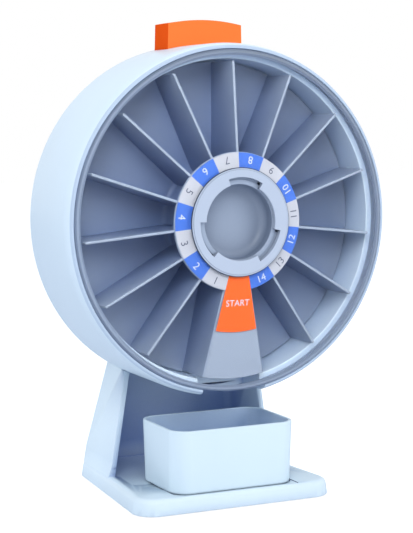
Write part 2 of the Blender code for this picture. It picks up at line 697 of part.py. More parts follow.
def make_core():
    """Fixed hub core: the recess seen in front, three bayonet ears, and the journal of the driver."""
    rear = COVER_DEPTH - GAP
    profile = [
        (CORE_BORE, -CORE_FRONT),
        (CORE_RADIUS, -CORE_FRONT),
        (CORE_RADIUS, JOURNAL_START),
        (JOURNAL_RADIUS, JOURNAL_START),
        (JOURNAL_RADIUS, rear),
        (0.0, rear),
        (0.0, RECESS_FLOOR),
        (CORE_BORE, RECESS_FLOOR),
    ]
    core = turned("hub_core", profile, PALE_BLUE)
    ears = []
    inner, outer = CORE_RADIUS - EAR_REACH / 2, CORE_RADIUS + EAR_REACH
    front, rear = -CORE_FRONT + EDGE_STEP, -CORE_FRONT + EAR_THICKNESS
    stop_outer, stop_rear = outer - EDGE_STEP, rear + LUG_THICKNESS
    for i in range(EAR_COUNT):
        start = 180.0 + NOTCH_START + 360.0 * i / EAR_COUNT - EAR_ANGLE / 2
        ears.append(turned("ear", [(inner, front), (outer, front), (outer, rear), (inner, rear)],
                           collection=tools, steps=EAR_STEPS, sweep=EAR_ANGLE, start=start))
        locked = start + EAR_ANGLE - LUG_OFFSET_ANGLE + LOCK_ANGLE + EAR_STOP_PLAY_ANGLE
        ears.append(turned("ear_stop", [(inner, rear - EDGE_STEP), (stop_outer, rear - EDGE_STEP),
                                        (stop_outer, stop_rear), (inner, stop_rear)],
                           collection=tools, steps=1, sweep=EAR_STOP_ANGLE, start=locked))
    join(core, *ears)
    cut(core, *screw_holes("hub_screw"))
    shade(core)


def make_wheel():
    """Pocket wheel: hub, sloping ledge for the labels, floor, dividers and the closed START sector."""
    groove_front = RATCHET_DEPTH + RATCHET_THICKNESS + CLIP_PLAY
    groove_rear = groove_front + CLIP_THICKNESS + GAP + CLIP_PLAY
    groove = HUB_TUBE_RADIUS - CLIP_GROOVE_DEPTH
    floor_rear = FLOOR_DEPTH + WHEEL_FLOOR_THICKNESS
    profile = [
        (HUB_POCKET_RADIUS, cone_front(HUB_POCKET_RADIUS)),
        (LEDGE_RADIUS, cone_front(LEDGE_RADIUS)),
        (LEDGE_RADIUS, cone_front(LEDGE_RADIUS, -LEDGE_THICKNESS)),
        (HUB_SLEEVE_RADIUS, cone_front(HUB_SLEEVE_RADIUS, -LEDGE_THICKNESS)),
        (HUB_SLEEVE_RADIUS, FLOOR_DEPTH),
        (WHEEL_RADIUS, FLOOR_DEPTH),
        (WHEEL_RADIUS, floor_rear),
        (HUB_TUBE_RADIUS, floor_rear),
        (HUB_TUBE_RADIUS, groove_front),
        (groove, groove_front),
        (groove, groove_rear),
        (HUB_TUBE_RADIUS, groove_rear),
        (HUB_TUBE_RADIUS, TUBE_END),
        (WHEEL_BORE, TUBE_END),
        (WHEEL_BORE, HUB_POCKET_DEPTH),
        (HUB_POCKET_RADIUS, HUB_POCKET_DEPTH),
    ]
    wheel = turned("pocket_wheel", profile, WHEEL_GREY)
    inner = HUB_SLEEVE_RADIUS - EDGE_STEP
    outer = WHEEL_RADIUS - EDGE_STEP
    sunk = FLOOR_DEPTH + EDGE_STEP
    wall = [(inner, cone_front(inner, -EDGE_STEP)), (outer, cone_front(outer, -EDGE_STEP)), (outer, sunk),
            (inner, sunk)]
    dividers = [fin("divider", wall, DIVIDER_THICKNESS, INDEX_ANGLE * (i + 0.5)) for i in range(SECTOR_COUNT)]
    bend_in = LEDGE_RADIUS - EDGE_STEP
    lift = EDGE_STEP / 2
    wall_in = outer - START_WALL
    closing = [
        (bend_in, cone_front(bend_in, -lift)),
        (outer - lift, cone_front(outer, -lift)),
        (outer - lift, sunk + lift),
        (wall_in, sunk + lift),
        (wall_in, cone_front(wall_in, -START_PLATE_THICKNESS)),
        (bend_in, cone_front(bend_in, -START_PLATE_THICKNESS)),
    ]
    start = turned("start_sector", closing, steps=SECTOR_STEPS, sweep=INDEX_ANGLE, start=-INDEX_ANGLE / 2)
    join(wheel, *dividers, start)
    reach = (WHEEL_RADIUS - LEDGE_RADIUS) * (1 - START_WINDOW_SHARE) / 2
    low, high = LEDGE_RADIUS + reach, WHEEL_RADIUS - reach
    window = [(low, FLOOR_DEPTH - OVERRUN), (high, FLOOR_DEPTH - OVERRUN), (high, floor_rear + OVERRUN),
              (low, floor_rear + OVERRUN)]
    opening = turned("window", window, collection=tools, steps=START_WINDOW_STEPS,
                     sweep=INDEX_ANGLE * START_WINDOW_SHARE,
                     start=-INDEX_ANGLE * START_WINDOW_SHARE / 2)
    slots = [spoke("key_slot", WHEEL_BORE - OVERRUN, HUB_TUBE_RADIUS + OVERRUN, KEY_WIDTH + 2 * GAP,
                   RATCHET_DEPTH - GAP, TUBE_END + OVERRUN, 360.0 * i / KEY_COUNT) for i in range(KEY_COUNT)]
    cut(wheel, opening, *slots)
    shade(wheel)


def label(name, inner, outer, start, sweep, steps, mat):
    """A thin printed label on the wheel's sloping front."""
    profile = [(inner, cone_front(inner, LABEL_LIFT)), (outer, cone_front(outer, LABEL_LIFT)),
               (outer, cone_front(outer, GAP)), (inner, cone_front(inner, GAP))]
    shade(turned(name, profile, mat, steps=steps, sweep=sweep, start=start))


def make_labels():
    """The ring of pocket numbers and the START label, which reaches further out."""
    half = INDEX_ANGLE / 2
    label("number_ring", CONE_INNER_RADIUS, CONE_INNER_RADIUS + LABEL_WIDTH, half, 360.0 - INDEX_ANGLE,
          (SECTOR_COUNT - 1) * SECTOR_STEPS, LABEL_PRINT)
    own = INDEX_ANGLE * LABEL_SECTOR_SHARE
    label("start_label", CONE_INNER_RADIUS, CONE_INNER_RADIUS + START_LABEL_REACH, -own / 2, own,
          SECTOR_STEPS, START_PRINT)


def ratchet_angle(tooth):
    """Angle of a ratchet tooth's steep face."""
    return INDEX_ANGLE * (tooth + 0.5)


def finger_base(tooth):
    """Angle of the base of a finger whose tip rests against a tooth."""
    return ratchet_angle(tooth) + FINGER_LEAD_ANGLE + FINGER_SWEEP_ANGLE


def make_ratchet():
    """Ratchet ring: saw teeth outside, three keys in the bore."""
    outline = []
    for tooth in range(SECTOR_COUNT):
        for i in range(TOOTH_STEPS + 1):
            share = i / TOOTH_STEPS
            radius = RATCHET_ROOT + (RATCHET_TIP - RATCHET_ROOT) * share
            outline.append(polar(radius, ratchet_angle(tooth) + INDEX_ANGLE * share))
    bore = arc(RATCHET_BORE, 0.0, 360.0, BORE_STEPS)[:-1]
    rear = RATCHET_DEPTH + RATCHET_THICKNESS
    ring = plate("ratchet_ring", outline, RATCHET_DEPTH, rear, INNER_WHITE, holes=(bore,))
    key_front, key_rear = RATCHET_DEPTH + EDGE_STEP, rear - EDGE_STEP
    keys = [spoke("key", RATCHET_BORE - KEY_REACH, RATCHET_BORE + EDGE_STEP, KEY_WIDTH, key_front, key_rear,
                  360.0 * i / KEY_COUNT) for i in range(KEY_COUNT)]
    join(ring, *keys)
    clip_front = rear + GAP
    inner = HUB_TUBE_RADIUS - CLIP_GROOVE_DEPTH + GAP
    clip = [(inner, clip_front), (CLIP_RADIUS, clip_front), (CLIP_RADIUS, clip_front + CLIP_THICKNESS),
            (inner, clip_front + CLIP_THICKNESS)]
    turned("wheel_clip", clip, SPRING_STEEL, steps=BORE_STEPS, sweep=360.0 - CLIP_OPENING_ANGLE,
           start=CLIP_OPENING_ANGLE / 2)


def make_lid():
    """Clear lid: a shallow cone over the wheel, a raised rim bead and a skirt that seats on the shelf."""
    outer = SEAM_RADIUS - GAP
    bead = outer - LID_BEAD_WIDTH
    toe = bead - LID_BEAD_CHAMFER
    front = cone_front(bead) + WHEEL_FRONT - LID_FRONT
    under = front + LID_THICKNESS
    bead_front = front - LID_BEAD_HEIGHT
    profile = [
        (LID_HOLE_RADIUS, -LID_FRONT),
        (CONE_INNER_RADIUS, -LID_FRONT),
        (toe, lid_front(toe)),
        (bead, bead_front),
        (outer - LID_BEAD_CHAMFER, bead_front),
        (outer, bead_front + LID_BEAD_CHAMFER),
        (outer, SHELF_DEPTH - GAP),
        (outer - LID_SKIRT_WALL, SHELF_DEPTH - GAP),
        (outer - LID_SKIRT_WALL, under),
        (toe, lid_front(toe) + LID_THICKNESS),
        (CONE_INNER_RADIUS, -LID_UNDERSIDE),
        (LID_HOLE_RADIUS, -LID_UNDERSIDE),
    ]
    shade(turned("clear_lid", profile, CLEAR))


def lid_front(radius):
    """Depth of the lid's front face on its cone."""
    return CONE_SLOPE * (radius - CONE_INNER_RADIUS) - LID_FRONT


def make_lock_ring():
    """Lock ring: a flange over the lid's edge, three finger notches, and a skirt with three lugs."""
    bayonet = -CORE_FRONT + EAR_THICKNESS + GAP
    lug_rear = bayonet + LUG_THICKNESS
    skirt_bore = SKIRT_RADIUS - SKIRT_WALL
    lug_inner, lug_outer = CORE_RADIUS + GAP, skirt_bore + SKIRT_WALL / 2
    step_radius, step_front = RING_RADIUS - RING_STEP_WIDTH, -RING_FRONT + RING_STEP_HEIGHT
    profile = [
        (RING_HOLE_RADIUS, -RING_FRONT),
        (step_radius, -RING_FRONT),
        (step_radius, step_front),
        (RING_RADIUS - RING_CHAMFER, step_front),
        (RING_RADIUS, step_front + RING_CHAMFER),
        (RING_RADIUS, -RING_REAR),
        (SKIRT_RADIUS, -RING_REAR),
        (SKIRT_RADIUS, lug_rear),
        (skirt_bore, lug_rear),
        (skirt_bore, -RING_FRONT + RING_BODY),
        (RING_HOLE_RADIUS, -RING_FRONT + RING_BODY),
    ]
    ring = turned("lock_ring", profile, PALE_BLUE)
    lugs, notches = [], []
    for i in range(EAR_COUNT):
        middle = 180.0 + NOTCH_START + 360.0 * i / EAR_COUNT
        lug = [(lug_inner, bayonet), (lug_outer, bayonet), (lug_outer, lug_rear - EDGE_STEP / 2),
               (lug_inner, lug_rear - EDGE_STEP / 2)]
        lugs.append(turned("lug", lug, collection=tools, steps=EAR_STEPS, sweep=EAR_ANGLE,
                           start=middle + LUG_OFFSET_ANGLE - EAR_ANGLE / 2))
        front, rear = -RING_FRONT - OVERRUN, -RING_FRONT + RING_BODY + OVERRUN
        gap = [(RING_HOLE_RADIUS - OVERRUN, front), (NOTCH_RADIUS, front), (NOTCH_RADIUS, rear),
               (RING_HOLE_RADIUS - OVERRUN, rear)]
        notches.append(turned("notch", gap, collection=tools, steps=NOTCH_STEPS, sweep=NOTCH_ANGLE,
                              start=middle - NOTCH_ANGLE / 2))
    join(ring, *lugs)
    cut(ring, *notches)
    shade(ring)


def make_button():
    """Button cap: a top concentric with the drum, drafted sides, hollow below, and a stop flange inside
    the shell."""
    flange = BUTTON_HALF_FOOT + STOP_REACH
    side_top = sqrt(BUTTON_RADIUS**2 - BUTTON_HALF_WIDTH**2)
    half_turn = degrees(acos(side_top / BUTTON_RADIUS))
    outline = [(flange, STOP_TOP - STOP_THICKNESS), (flange, STOP_TOP), (BUTTON_HALF_FOOT, STOP_TOP),
               *arc(BUTTON_RADIUS, 180.0 + half_turn, 180.0 - half_turn, BUTTON_TOP_STEPS),
               (-BUTTON_HALF_FOOT, STOP_TOP), (-flange, STOP_TOP), (-flange, STOP_TOP - STOP_THICKNESS)]
    rear = BUTTON_FRONT + BUTTON_DEPTH
    cap = plate("button_cap", outline, BUTTON_FRONT, rear, ORANGE)
    soften(cap, BUTTON_ROUND)
    inner = BUTTON_HALF_WIDTH - BUTTON_WALL
    hollow = drum_box("hollow", (-inner, BUTTON_FRONT + BUTTON_WALL, CROSS_ARM_BOTTOM),
                      (inner, rear - BUTTON_WALL, side_top - BUTTON_WALL))
    cut(cap, hollow)
    shade(cap)


def rack_teeth():
    """Outline of the rack's toothed side, top to bottom, in mesh with a gear tooth at its middle."""
    pitch = pi * GEAR_MODULE
    tip = GEAR_ADDENDUM_SHARE * GEAR_MODULE
    root = GEAR_ROOT_SHARE * GEAR_MODULE
    half = (pitch / 2 - BACKLASH) / 2
    lean = tan(radians(PRESSURE_ANGLE))
    points = []
    above = int(RACK_TEETH_ABOVE / pitch)
    below = int(RACK_BELOW / pitch)
    for i in range(above - 1, -below - 1, -1):
        middle = (i + 0.5) * pitch
        points += [(RACK_ROOT_X, middle + half + root * lean), (RACK_X + tip, middle + half - tip * lean),
                   (RACK_X + tip, middle - half + tip * lean), (RACK_ROOT_X, middle - half - root * lean)]
    return points


def make_plunger():
    """Plunger: post under the cap, cross arm over the spring, and the rack bar down the left side."""
    bar_left = RACK_ROOT_X - RACK_BAR_WIDTH
    post_top = sqrt(BUTTON_RADIUS**2 - BUTTON_HALF_WIDTH**2) - BUTTON_WALL - GAP
    arm_right = SPRING_SIDE + SEAT_HALF_WIDTH
    peg_low = CROSS_ARM_BOTTOM - SPRING_PEG_LENGTH
    outline = [
        (bar_left, -RACK_BELOW),
        (bar_left, CROSS_ARM_TOP),
        (-POST_HALF_WIDTH, CROSS_ARM_TOP),
        (-POST_HALF_WIDTH, post_top),
        (POST_HALF_WIDTH, post_top),
        (POST_HALF_WIDTH, CROSS_ARM_TOP),
        (arm_right, CROSS_ARM_TOP),
        (arm_right, CROSS_ARM_BOTTOM),
        (SPRING_SIDE + SPRING_PEG_HALF_WIDTH, CROSS_ARM_BOTTOM),
        (SPRING_SIDE + SPRING_PEG_HALF_WIDTH, peg_low),
        (SPRING_SIDE - SPRING_PEG_HALF_WIDTH, peg_low),
        (SPRING_SIDE - SPRING_PEG_HALF_WIDTH, CROSS_ARM_BOTTOM),
        (RACK_ROOT_X, CROSS_ARM_BOTTOM),
        *rack_teeth(),
        (RACK_ROOT_X, -RACK_BELOW),
    ]
    plate("plunger_rack", outline, GEAR_DEPTH, GEAR_DEPTH + GEAR_THICKNESS, INNER_WHITE)


def make_spring():
    """Return spring: one open coil between the housing's seat and the cross arm."""
    centre = DRUM_CENTRE + Vector((SPRING_SIDE, GEAR_DEPTH + GEAR_THICKNESS / 2, 0.0))
    low = SEAT_TOP + GAP + SPRING_WIRE
    high = CROSS_ARM_BOTTOM - GAP - SPRING_WIRE
    count = SPRING_TURNS * SPRING_POINTS
    curve = bpy.data.curves.new("return_spring", "CURVE")
    curve.dimensions = "3D"
    curve.bevel_depth = SPRING_WIRE
    curve.bevel_resolution = SPRING_WIRE_ROUNDNESS
    curve.use_fill_caps = True
    spline = curve.splines.new("POLY")
    spline.points.add(count)
    for i, point in enumerate(spline.points):
        turn = 2 * pi * i / SPRING_POINTS
        height = low + (high - low) * i / count
        spot = centre + Vector((SPRING_RADIUS * cos(turn), SPRING_RADIUS * sin(turn), height))
        point.co = (*spot, 1.0)
    drawn = bpy.data.objects.new("return_spring_path", curve)
    tools.objects.link(drawn)
    mesh = bpy.data.meshes.new_from_object(drawn.evaluated_get(bpy.context.evaluated_depsgraph_get()))
    bpy.data.objects.remove(drawn, do_unlink=True)
    mesh.materials.clear()
    bm = bmesh.new()
    bm.from_mesh(mesh)
    bmesh.ops.remove_doubles(bm, verts=bm.verts[:], dist=MERGE)
    bm.to_mesh(mesh)
    bm.free()
    spring = place(mesh, "return_spring", SPRING_STEEL)
    outward(spring)
    shade(spring)
    least = (high - low) / SPRING_TURNS - 2 * SPRING_WIRE
    print(f"return spring: least gap between turns {least / MM:.2f} mm")


def gear_outline():
    """Involute gear outline, a tooth centred at each step from the left side of the drum."""
    base = PITCH_RADIUS * cos(radians(PRESSURE_ANGLE))
    root = PITCH_RADIUS - GEAR_ROOT_SHARE * GEAR_MODULE
    tip = PITCH_RADIUS + GEAR_ADDENDUM_SHARE * GEAR_MODULE

    def involute(radius):
        lean = acos(min(1.0, base / radius))
        return tan(lean) - lean

    at_pitch = (pi * GEAR_MODULE / 2 - BACKLASH) / (2 * PITCH_RADIUS)
    radii = [root, *(base + (tip - base) * i / GEAR_FLANK_STEPS for i in range(GEAR_FLANK_STEPS + 1))]
    halves = [degrees(at_pitch + involute(PITCH_RADIUS) - involute(max(r, base))) for r in radii]
    points = []
    for tooth in range(GEAR_TEETH):
        middle = 90.0 + 360.0 * tooth / GEAR_TEETH
        points += [polar(r, middle - h) for r, h in zip(radii, halves)]
        points += [polar(r, middle + h) for r, h in reversed(list(zip(radii, halves)))]
    return points


def make_driver():
    """Driver: gear on the core's journal, with a sleeve behind and an arm that carries the pawl."""
    bore = JOURNAL_RADIUS + GAP
    rear = GEAR_DEPTH + GEAR_THICKNESS
    gear = plate("driver_gear", gear_outline(), GEAR_DEPTH, rear, INNER_WHITE,
                 holes=(arc(bore, 0.0, 360.0, BORE_STEPS)[:-1],))
    sleeve_rear = COVER_DEPTH - COVER_BOSS_HEIGHT - SLEEVE_CLEARANCE
    outer = bore + SLEEVE_WALL
    sleeve = turned("sleeve", [(bore + EDGE_STEP, GEAR_DEPTH + EDGE_STEP), (outer, GEAR_DEPTH + EDGE_STEP),
                               (outer, sleeve_rear), (bore + EDGE_STEP, sleeve_rear)], steps=BORE_STEPS)
    angle = finger_base(PAWL_TOOTH)
    arm = spoke("arm", (bore + PITCH_RADIUS) / 2, ARM_REACH, ARM_WIDTH, GEAR_DEPTH + EDGE_STEP / 2,
                rear - EDGE_STEP / 2, angle)
    join(gear, sleeve, arm)
    x, z = polar(FINGER_BASE_RADIUS, angle)
    cut(gear, rod("pin_hole", FINGER_PIN + GAP, GEAR_DEPTH - OVERRUN, rear + OVERRUN, x, z))
    shade(gear)


def finger(name, tooth, block_from, block_to, pin_from, pin_to):
    """A springy finger whose tip rests against a ratchet tooth, with a base block and a pin."""
    tip_angle = ratchet_angle(tooth) + FINGER_LEAD_ANGLE
    low = RATCHET_ROOT + FINGER_CLEARANCE
    high = FINGER_BASE_RADIUS - FINGER_WIDTH / 2
    inner, outer = [], []
    for i in range(FINGER_STEPS + 1):
        share = i / FINGER_STEPS
        radius = low + (high - low) * share**FINGER_CURVE_POWER
        inner.append(polar(radius, tip_angle + FINGER_SWEEP_ANGLE * share))
        outer.append(polar(radius + FINGER_WIDTH, tip_angle + FINGER_SWEEP_ANGLE * share))
    front = RATCHET_DEPTH + EDGE_STEP / 2
    rear = RATCHET_DEPTH + RATCHET_THICKNESS - EDGE_STEP / 2
    strip = plate(name, inner + outer[::-1], front, rear, INNER_WHITE)
    angle = finger_base(tooth)
    half = FINGER_BLOCK / 2
    block = spoke("block", FINGER_BASE_RADIUS - half, FINGER_BASE_RADIUS + half, FINGER_BLOCK, block_from,
                  block_to, angle)
    x, z = polar(FINGER_BASE_RADIUS, angle)
    join(strip, block, rod("pin", FINGER_PIN, pin_from, pin_to, x, z))
    shade(strip)


def make_fingers():
    """Drive pawl on the driver's arm, and detent on the partition."""
    inside = RATCHET_DEPTH + RATCHET_THICKNESS / 2
    finger("drive_pawl", PAWL_TOOTH, RATCHET_DEPTH, GEAR_DEPTH - GAP, inside, GEAR_DEPTH + GEAR_THICKNESS)
    finger("detent_spring", DETENT_TOOTH, PARTITION_REAR + GAP, RATCHET_DEPTH + RATCHET_THICKNESS,
           PARTITION_DEPTH + GAP, inside)


def make_screws():
    """Pan-head screws with a plain slot, all driven from behind."""
    for name, x, z, seat in screw_places():
        head_rear = seat + SCREW_HEAD_THICKNESS
        screw = rod(name, SCREW_HEAD, seat, head_rear, x, z, ZINC, product)
        shank = rod("shank", SCREW_SHANK, seat - SCREW_LENGTH, seat + SCREW_HEAD_THICKNESS / 2, x, z,
                    steps=FINE_STEPS)
        join(screw, shank)
        reach, half = SCREW_HEAD + OVERRUN, SCREW_SLOT_WIDTH / 2
        slot = drum_box("slot", (x - reach, head_rear - SCREW_SLOT_DEPTH, z - half),
                        (x + reach, head_rear + OVERRUN, z + half))
        cut(screw, slot)
        shade(screw)


def rounded_outline(half_front, half_rear, front, rear, corner_front, corner_rear):
    """A level outline, symmetric about x = 0, with round corners, counter-clockwise from the front right."""
    right = [
        *bend(half_front - corner_front, front + corner_front, corner_front, -90.0, 0.0, CORNER_STEPS),
        *bend(half_rear - corner_rear, rear - corner_rear, corner_rear, 0.0, 90.0, CORNER_STEPS),
    ]
    return right + [(-x, y) for x, y in reversed(right)]


def lofted(name, rings, mat=None, collection=product):
    """A closed solid through level rings of equal point counts, from the lowest up."""
    bm = bmesh.new()
    loops = [[bm.verts.new(p) for p in ring] for ring in rings]
    for low, high in zip(loops, loops[1:]):
        for i in range(len(low)):
            j = (i + 1) % len(low)
            bm.faces.new((low[i], low[j], high[j], high[i]))
    bm.faces.new(loops[0][::-1])
    bm.faces.new(loops[-1])
    mesh = bpy.data.meshes.new(name)
    bm.to_mesh(mesh)
    bm.free()
    obj = place(mesh, name, mat, collection)
    outward(obj)
    return obj


def tower_rear(z):
    """Depth of the tower's leaning rear face at a height."""
    foot = SEAM_Y + BASE_DEPTH - BASE_OVERHANG - TOWER_REAR_INSET
    lean = (foot - SEAM_Y - DRUM_DEPTH - TOWER_TOP_THICKNESS) / (AXIS_HEIGHT - TOWER_DROP - PAD_PROUD)
    return foot - lean * (z - PAD_PROUD)


def tower_ring(z, half, wall=0.0, front=None, toe=TOWER_TOE_SHARE, corner=TOWER_CORNER, behind=0.0):
    """Outline of the tower at a height, set in by a wall, its sides closing towards the rear."""
    front = SEAM_Y + TOWER_FRONT if front is None else front
    rear = tower_rear(z) - wall + behind
    side = half - wall
    closed = side - toe * (rear - SEAM_Y - TOWER_FRONT)
    opened = side + toe * (SEAM_Y + TOWER_FRONT - front)
    corner = min(corner - wall / 2, (rear - SEAM_Y - TOWER_FRONT) / 2)
    right = [(opened, front), *bend(closed - corner, rear - corner, corner, 0.0, 90.0, CORNER_STEPS)]
    return [(x, y, z) for x, y in right + [(-x, y) for x, y in reversed(right)]]


def tower_half(z):
    """Half the tower's width at a height, along the straight part of its sides."""
    top = AXIS_HEIGHT - TOWER_DROP
    share = (z - TOWER_LOW) / (top - TOWER_LOW)
    return TOWER_HALF_LOW + (TOWER_HALF_TOP - TOWER_HALF_LOW) * share


def base_ring(z, inset):
    """Outline of the base at a height, set in all round."""
    front = SEAM_Y - BASE_OVERHANG
    outline = rounded_outline(BASE_HALF_FRONT - inset, BASE_HALF_REAR - inset, front + inset,
                              front + BASE_DEPTH - inset, BASE_FRONT_CORNER - inset, BASE_REAR_CORNER - inset)
    return [(x, y, z) for x, y in outline]


def make_base():
    """Base plate: drafted sides, a small chamfer below and a full round along its top edge."""
    rings = [base_ring(PAD_PROUD, BASE_FOOT_CHAMFER), base_ring(PAD_PROUD + BASE_FOOT_CHAMFER, 0.0)]
    for out, up in bend(0.0, 0.0, BASE_EDGE_ROUND, 0.0, 90.0, BASE_EDGE_STEPS):
        rings.append(base_ring(BASE_TOP - BASE_EDGE_ROUND + up, BASE_DRAFT + BASE_EDGE_ROUND - out))
    return lofted("stand", rings, PALE_BLUE)


def make_tower():
    """Tower: its sides run straight down and flare into the sides of the base."""
    sunk = PAD_PROUD + BASE_EDGE_ROUND
    edge = BASE_TOP - BASE_EDGE_ROUND
    inset = BASE_DRAFT + TOWER_FOOT_INSET
    foot = BASE_HALF_FRONT - TOE_SHARE * (BASE_OVERHANG + TOWER_FRONT) - inset
    foot_rear = SEAM_Y - BASE_OVERHANG + BASE_DEPTH - inset
    outs = (1.0, 1.0, *(out for _, out in TOWER_FLARE_SHARES), 0.0)
    levels = (sunk, edge, *(edge + (TOWER_LOW - edge) * up for up, _ in TOWER_FLARE_SHARES), TOWER_LOW)
    rings = []
    for z, out in zip(levels, outs):
        rings.append(tower_ring(z, TOWER_HALF_LOW + (foot - TOWER_HALF_LOW) * out,
                                toe=TOWER_TOE_SHARE + (TOE_SHARE - TOWER_TOE_SHARE) * out,
                                corner=TOWER_CORNER + (BASE_REAR_CORNER - TOWER_CORNER) * out,
                                behind=(foot_rear - tower_rear(z)) * out))
    rings.append(tower_ring(AXIS_HEIGHT - TOWER_DROP, TOWER_HALF_TOP))
    return lofted("tower", rings)


def make_stand():
    """Stand in one piece: base plate, tray for the cup, and a hollow tower open to the front."""
    front = SEAM_Y - BASE_OVERHANG
    rear = front + BASE_DEPTH
    top = AXIS_HEIGHT - TOWER_DROP
    base = make_base()
    join(base, make_tower())

    floor = BASE_TOP - TRAY_DEPTH / 2
    ceiling = top - HEAD_BLOCK
    mouth = SEAM_Y + TOWER_FRONT - OVERRUN
    rings = [tower_ring(z, tower_half(z), TOWER_WALL, mouth) for z in (floor, TOWER_LOW, ceiling)]
    cavity = lofted("cavity", rings, collection=tools)
    drum = turned("drum_space", [(0.0, 0.0), (DRUM_RADIUS + GAP, 0.0), (DRUM_RADIUS + GAP, DRUM_DEPTH + GAP),
                                 (0.0, DRUM_DEPTH + GAP)], collection=tools)
    tray_front = SEAM_Y - CUP_OVERHANG + CUP_DRAFT - TRAY_PLAY
    tray_rear = tower_rear(TRAY_LEVEL) - 2 * TOWER_WALL
    flare = []
    for i in range(TRAY_FLARE_STEPS + 1):
        share = i / TRAY_FLARE_STEPS
        ease = share * share * (3 - 2 * share)
        flare.append((TRAY_HALF_FRONT + (TRAY_HALF_REAR - TRAY_HALF_FRONT) * ease,
                      tray_front + TRAY_NECK + TRAY_FLARE * share))
    closed = TRAY_HALF_REAR - TOE_SHARE * (tray_rear - tray_front - TRAY_NECK - TRAY_FLARE)
    corner = bend(TRAY_HALF_FRONT - CUP_CORNER, tray_front + CUP_CORNER, CUP_CORNER, -90.0, 0.0, CORNER_STEPS)
    right = [*corner, *flare, (closed, tray_rear)]
    tray = slab("tray", right + [(-x, y) for x, y in reversed(right)], TRAY_LEVEL, BASE_TOP + OVERRUN,
                collection=tools)
    lip = box("lip", (-TRAY_HALF_FRONT, front - OVERRUN, TRAY_LEVEL + GAP + TRAY_LIP_HEIGHT),
              (TRAY_HALF_FRONT, tray_front + CUP_CORNER, BASE_TOP + OVERRUN))
    margin = UNDERSIDE_MARGIN
    low, high = -OVERRUN, TRAY_LEVEL - BASE_FLOOR
    middle = (front + rear) / 2
    hollows = [slab("underside", rounded_outline(BASE_HALF_REAR - margin, BASE_HALF_REAR - margin, near, far,
                                                 BASE_FLOOR, BASE_FLOOR), low, high, collection=tools)
               for near, far in ((front + BASE_FRONT_CORNER, middle - BASE_FLOOR / 2),
                                 (middle + BASE_FLOOR / 2, rear - BASE_FRONT_CORNER))]
    sockets = [disc("socket", PAD_RADIUS + GAP, -OVERRUN, PAD_THICKNESS + GAP, x, y) for x, y in pad_places()]
    holes = screw_holes("stand_screw", STAND_SCREW_SEAT)
    heads = head_holes("stand_screw", tower_rear(AXIS_HEIGHT - STAND_SCREW_DROP) - SEAM_Y + OVERRUN)
    cut(base, cavity, drum, tray, lip, *hollows, *sockets, *holes, *heads)
    shade(base)


def disc(name, radius, low, high, x, y, mat=None, collection=tools):
    """An upright cylinder between two heights."""
    bm = bmesh.new()
    bmesh.ops.create_cone(bm, cap_ends=True, segments=SMALL_STEPS, radius1=radius, radius2=radius,
                          depth=high - low)
    mesh = bpy.data.meshes.new(name)
    bm.to_mesh(mesh)
    bm.free()
    mesh.transform(Matrix.Translation((x, y, (low + high) / 2)))
    return place(mesh, name, mat, collection)


def pad_places():
    """Centres of the four foot pads."""
    front = SEAM_Y - BASE_OVERHANG
    rear = front + BASE_DEPTH
    return [(side * (half - PAD_INSET), y) for half, y in ((BASE_HALF_FRONT, front + PAD_INSET),
                                                          (BASE_HALF_REAR, rear - PAD_INSET))
            for side in (-1, 1)]


def make_pads():
    """Rubber pads in the base's sockets."""
    for i, (x, y) in enumerate(pad_places()):
        shade(disc(f"foot_pad_{i + 1}", PAD_RADIUS, 0.0, PAD_THICKNESS, x, y, PAD_RUBBER, product))


def make_cup():
    """Cup: an open tapered shell with round corners that stands in the tray."""
    foot = TRAY_LEVEL + GAP
    front = SEAM_Y - CUP_OVERHANG
    rear = front + CUP_RIM_DEPTH
    rings = []
    for z, inset in ((foot, CUP_DRAFT + CUP_EDGE), (foot + CUP_EDGE, CUP_DRAFT), (foot + CUP_HEIGHT, 0.0)):
        corner, half = CUP_CORNER - inset / 2, CUP_HALF_RIM - inset
        outline = rounded_outline(half, half, front + inset, rear - inset, corner, corner)
        rings.append([(x, y, z) for x, y in outline])
    bm = bmesh.new()
    loops = [[bm.verts.new(p) for p in ring] for ring in rings]
    for low, high in zip(loops, loops[1:]):
        for i in range(len(low)):
            j = (i + 1) % len(low)
            bm.faces.new((low[i], low[j], high[j], high[i]))
    bm.faces.new(loops[0][::-1])
    mesh = bpy.data.meshes.new("cup")
    bm.to_mesh(mesh)
    bm.free()
    cup = place(mesh, "cup", CUP_BLUE)
    shell = cup.modifiers.new("wall", "SOLIDIFY")
    shell.thickness = CUP_WALL
    shell.offset = -1.0
    shell.use_even_offset = True
    settle(cup)
    outward(cup)
    shade(cup, CUP_SMOOTH_ANGLE)


def pivot(obj, spot):
    """Put an object's origin at a point, leaving its shape where it is."""
    obj.data.transform(Matrix.Translation(obj.location - Vector(spot)))
    obj.location = spot


make_housing()
make_cover()
make_core()
make_wheel()
make_labels()
make_ratchet()
make_lid()
make_lock_ring()
make_button()
make_plunger()
make_spring()
make_driver()
make_fingers()
make_screws()
make_stand()
make_pads()
make_cup()

for piece in product.objects:
    pivot(piece, DRUM_CENTRE)
for piece in (bpy.data.objects["stand"], bpy.data.objects["cup"]):
    pivot(piece, (0.0, SEAM_Y, TRAY_LEVEL))
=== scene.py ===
"""Looks of a rotary pill organizer on a desk stand: fine surfaces, finishes, print, light and camera.
Metres, +Z up, the front faces -Y. Sizes are the real ones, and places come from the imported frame."""

import json
from math import acos, asin, cos, degrees, hypot, pi, radians, sin, sqrt, tan

import bmesh
import bpy
from mathutils import Matrix, Vector

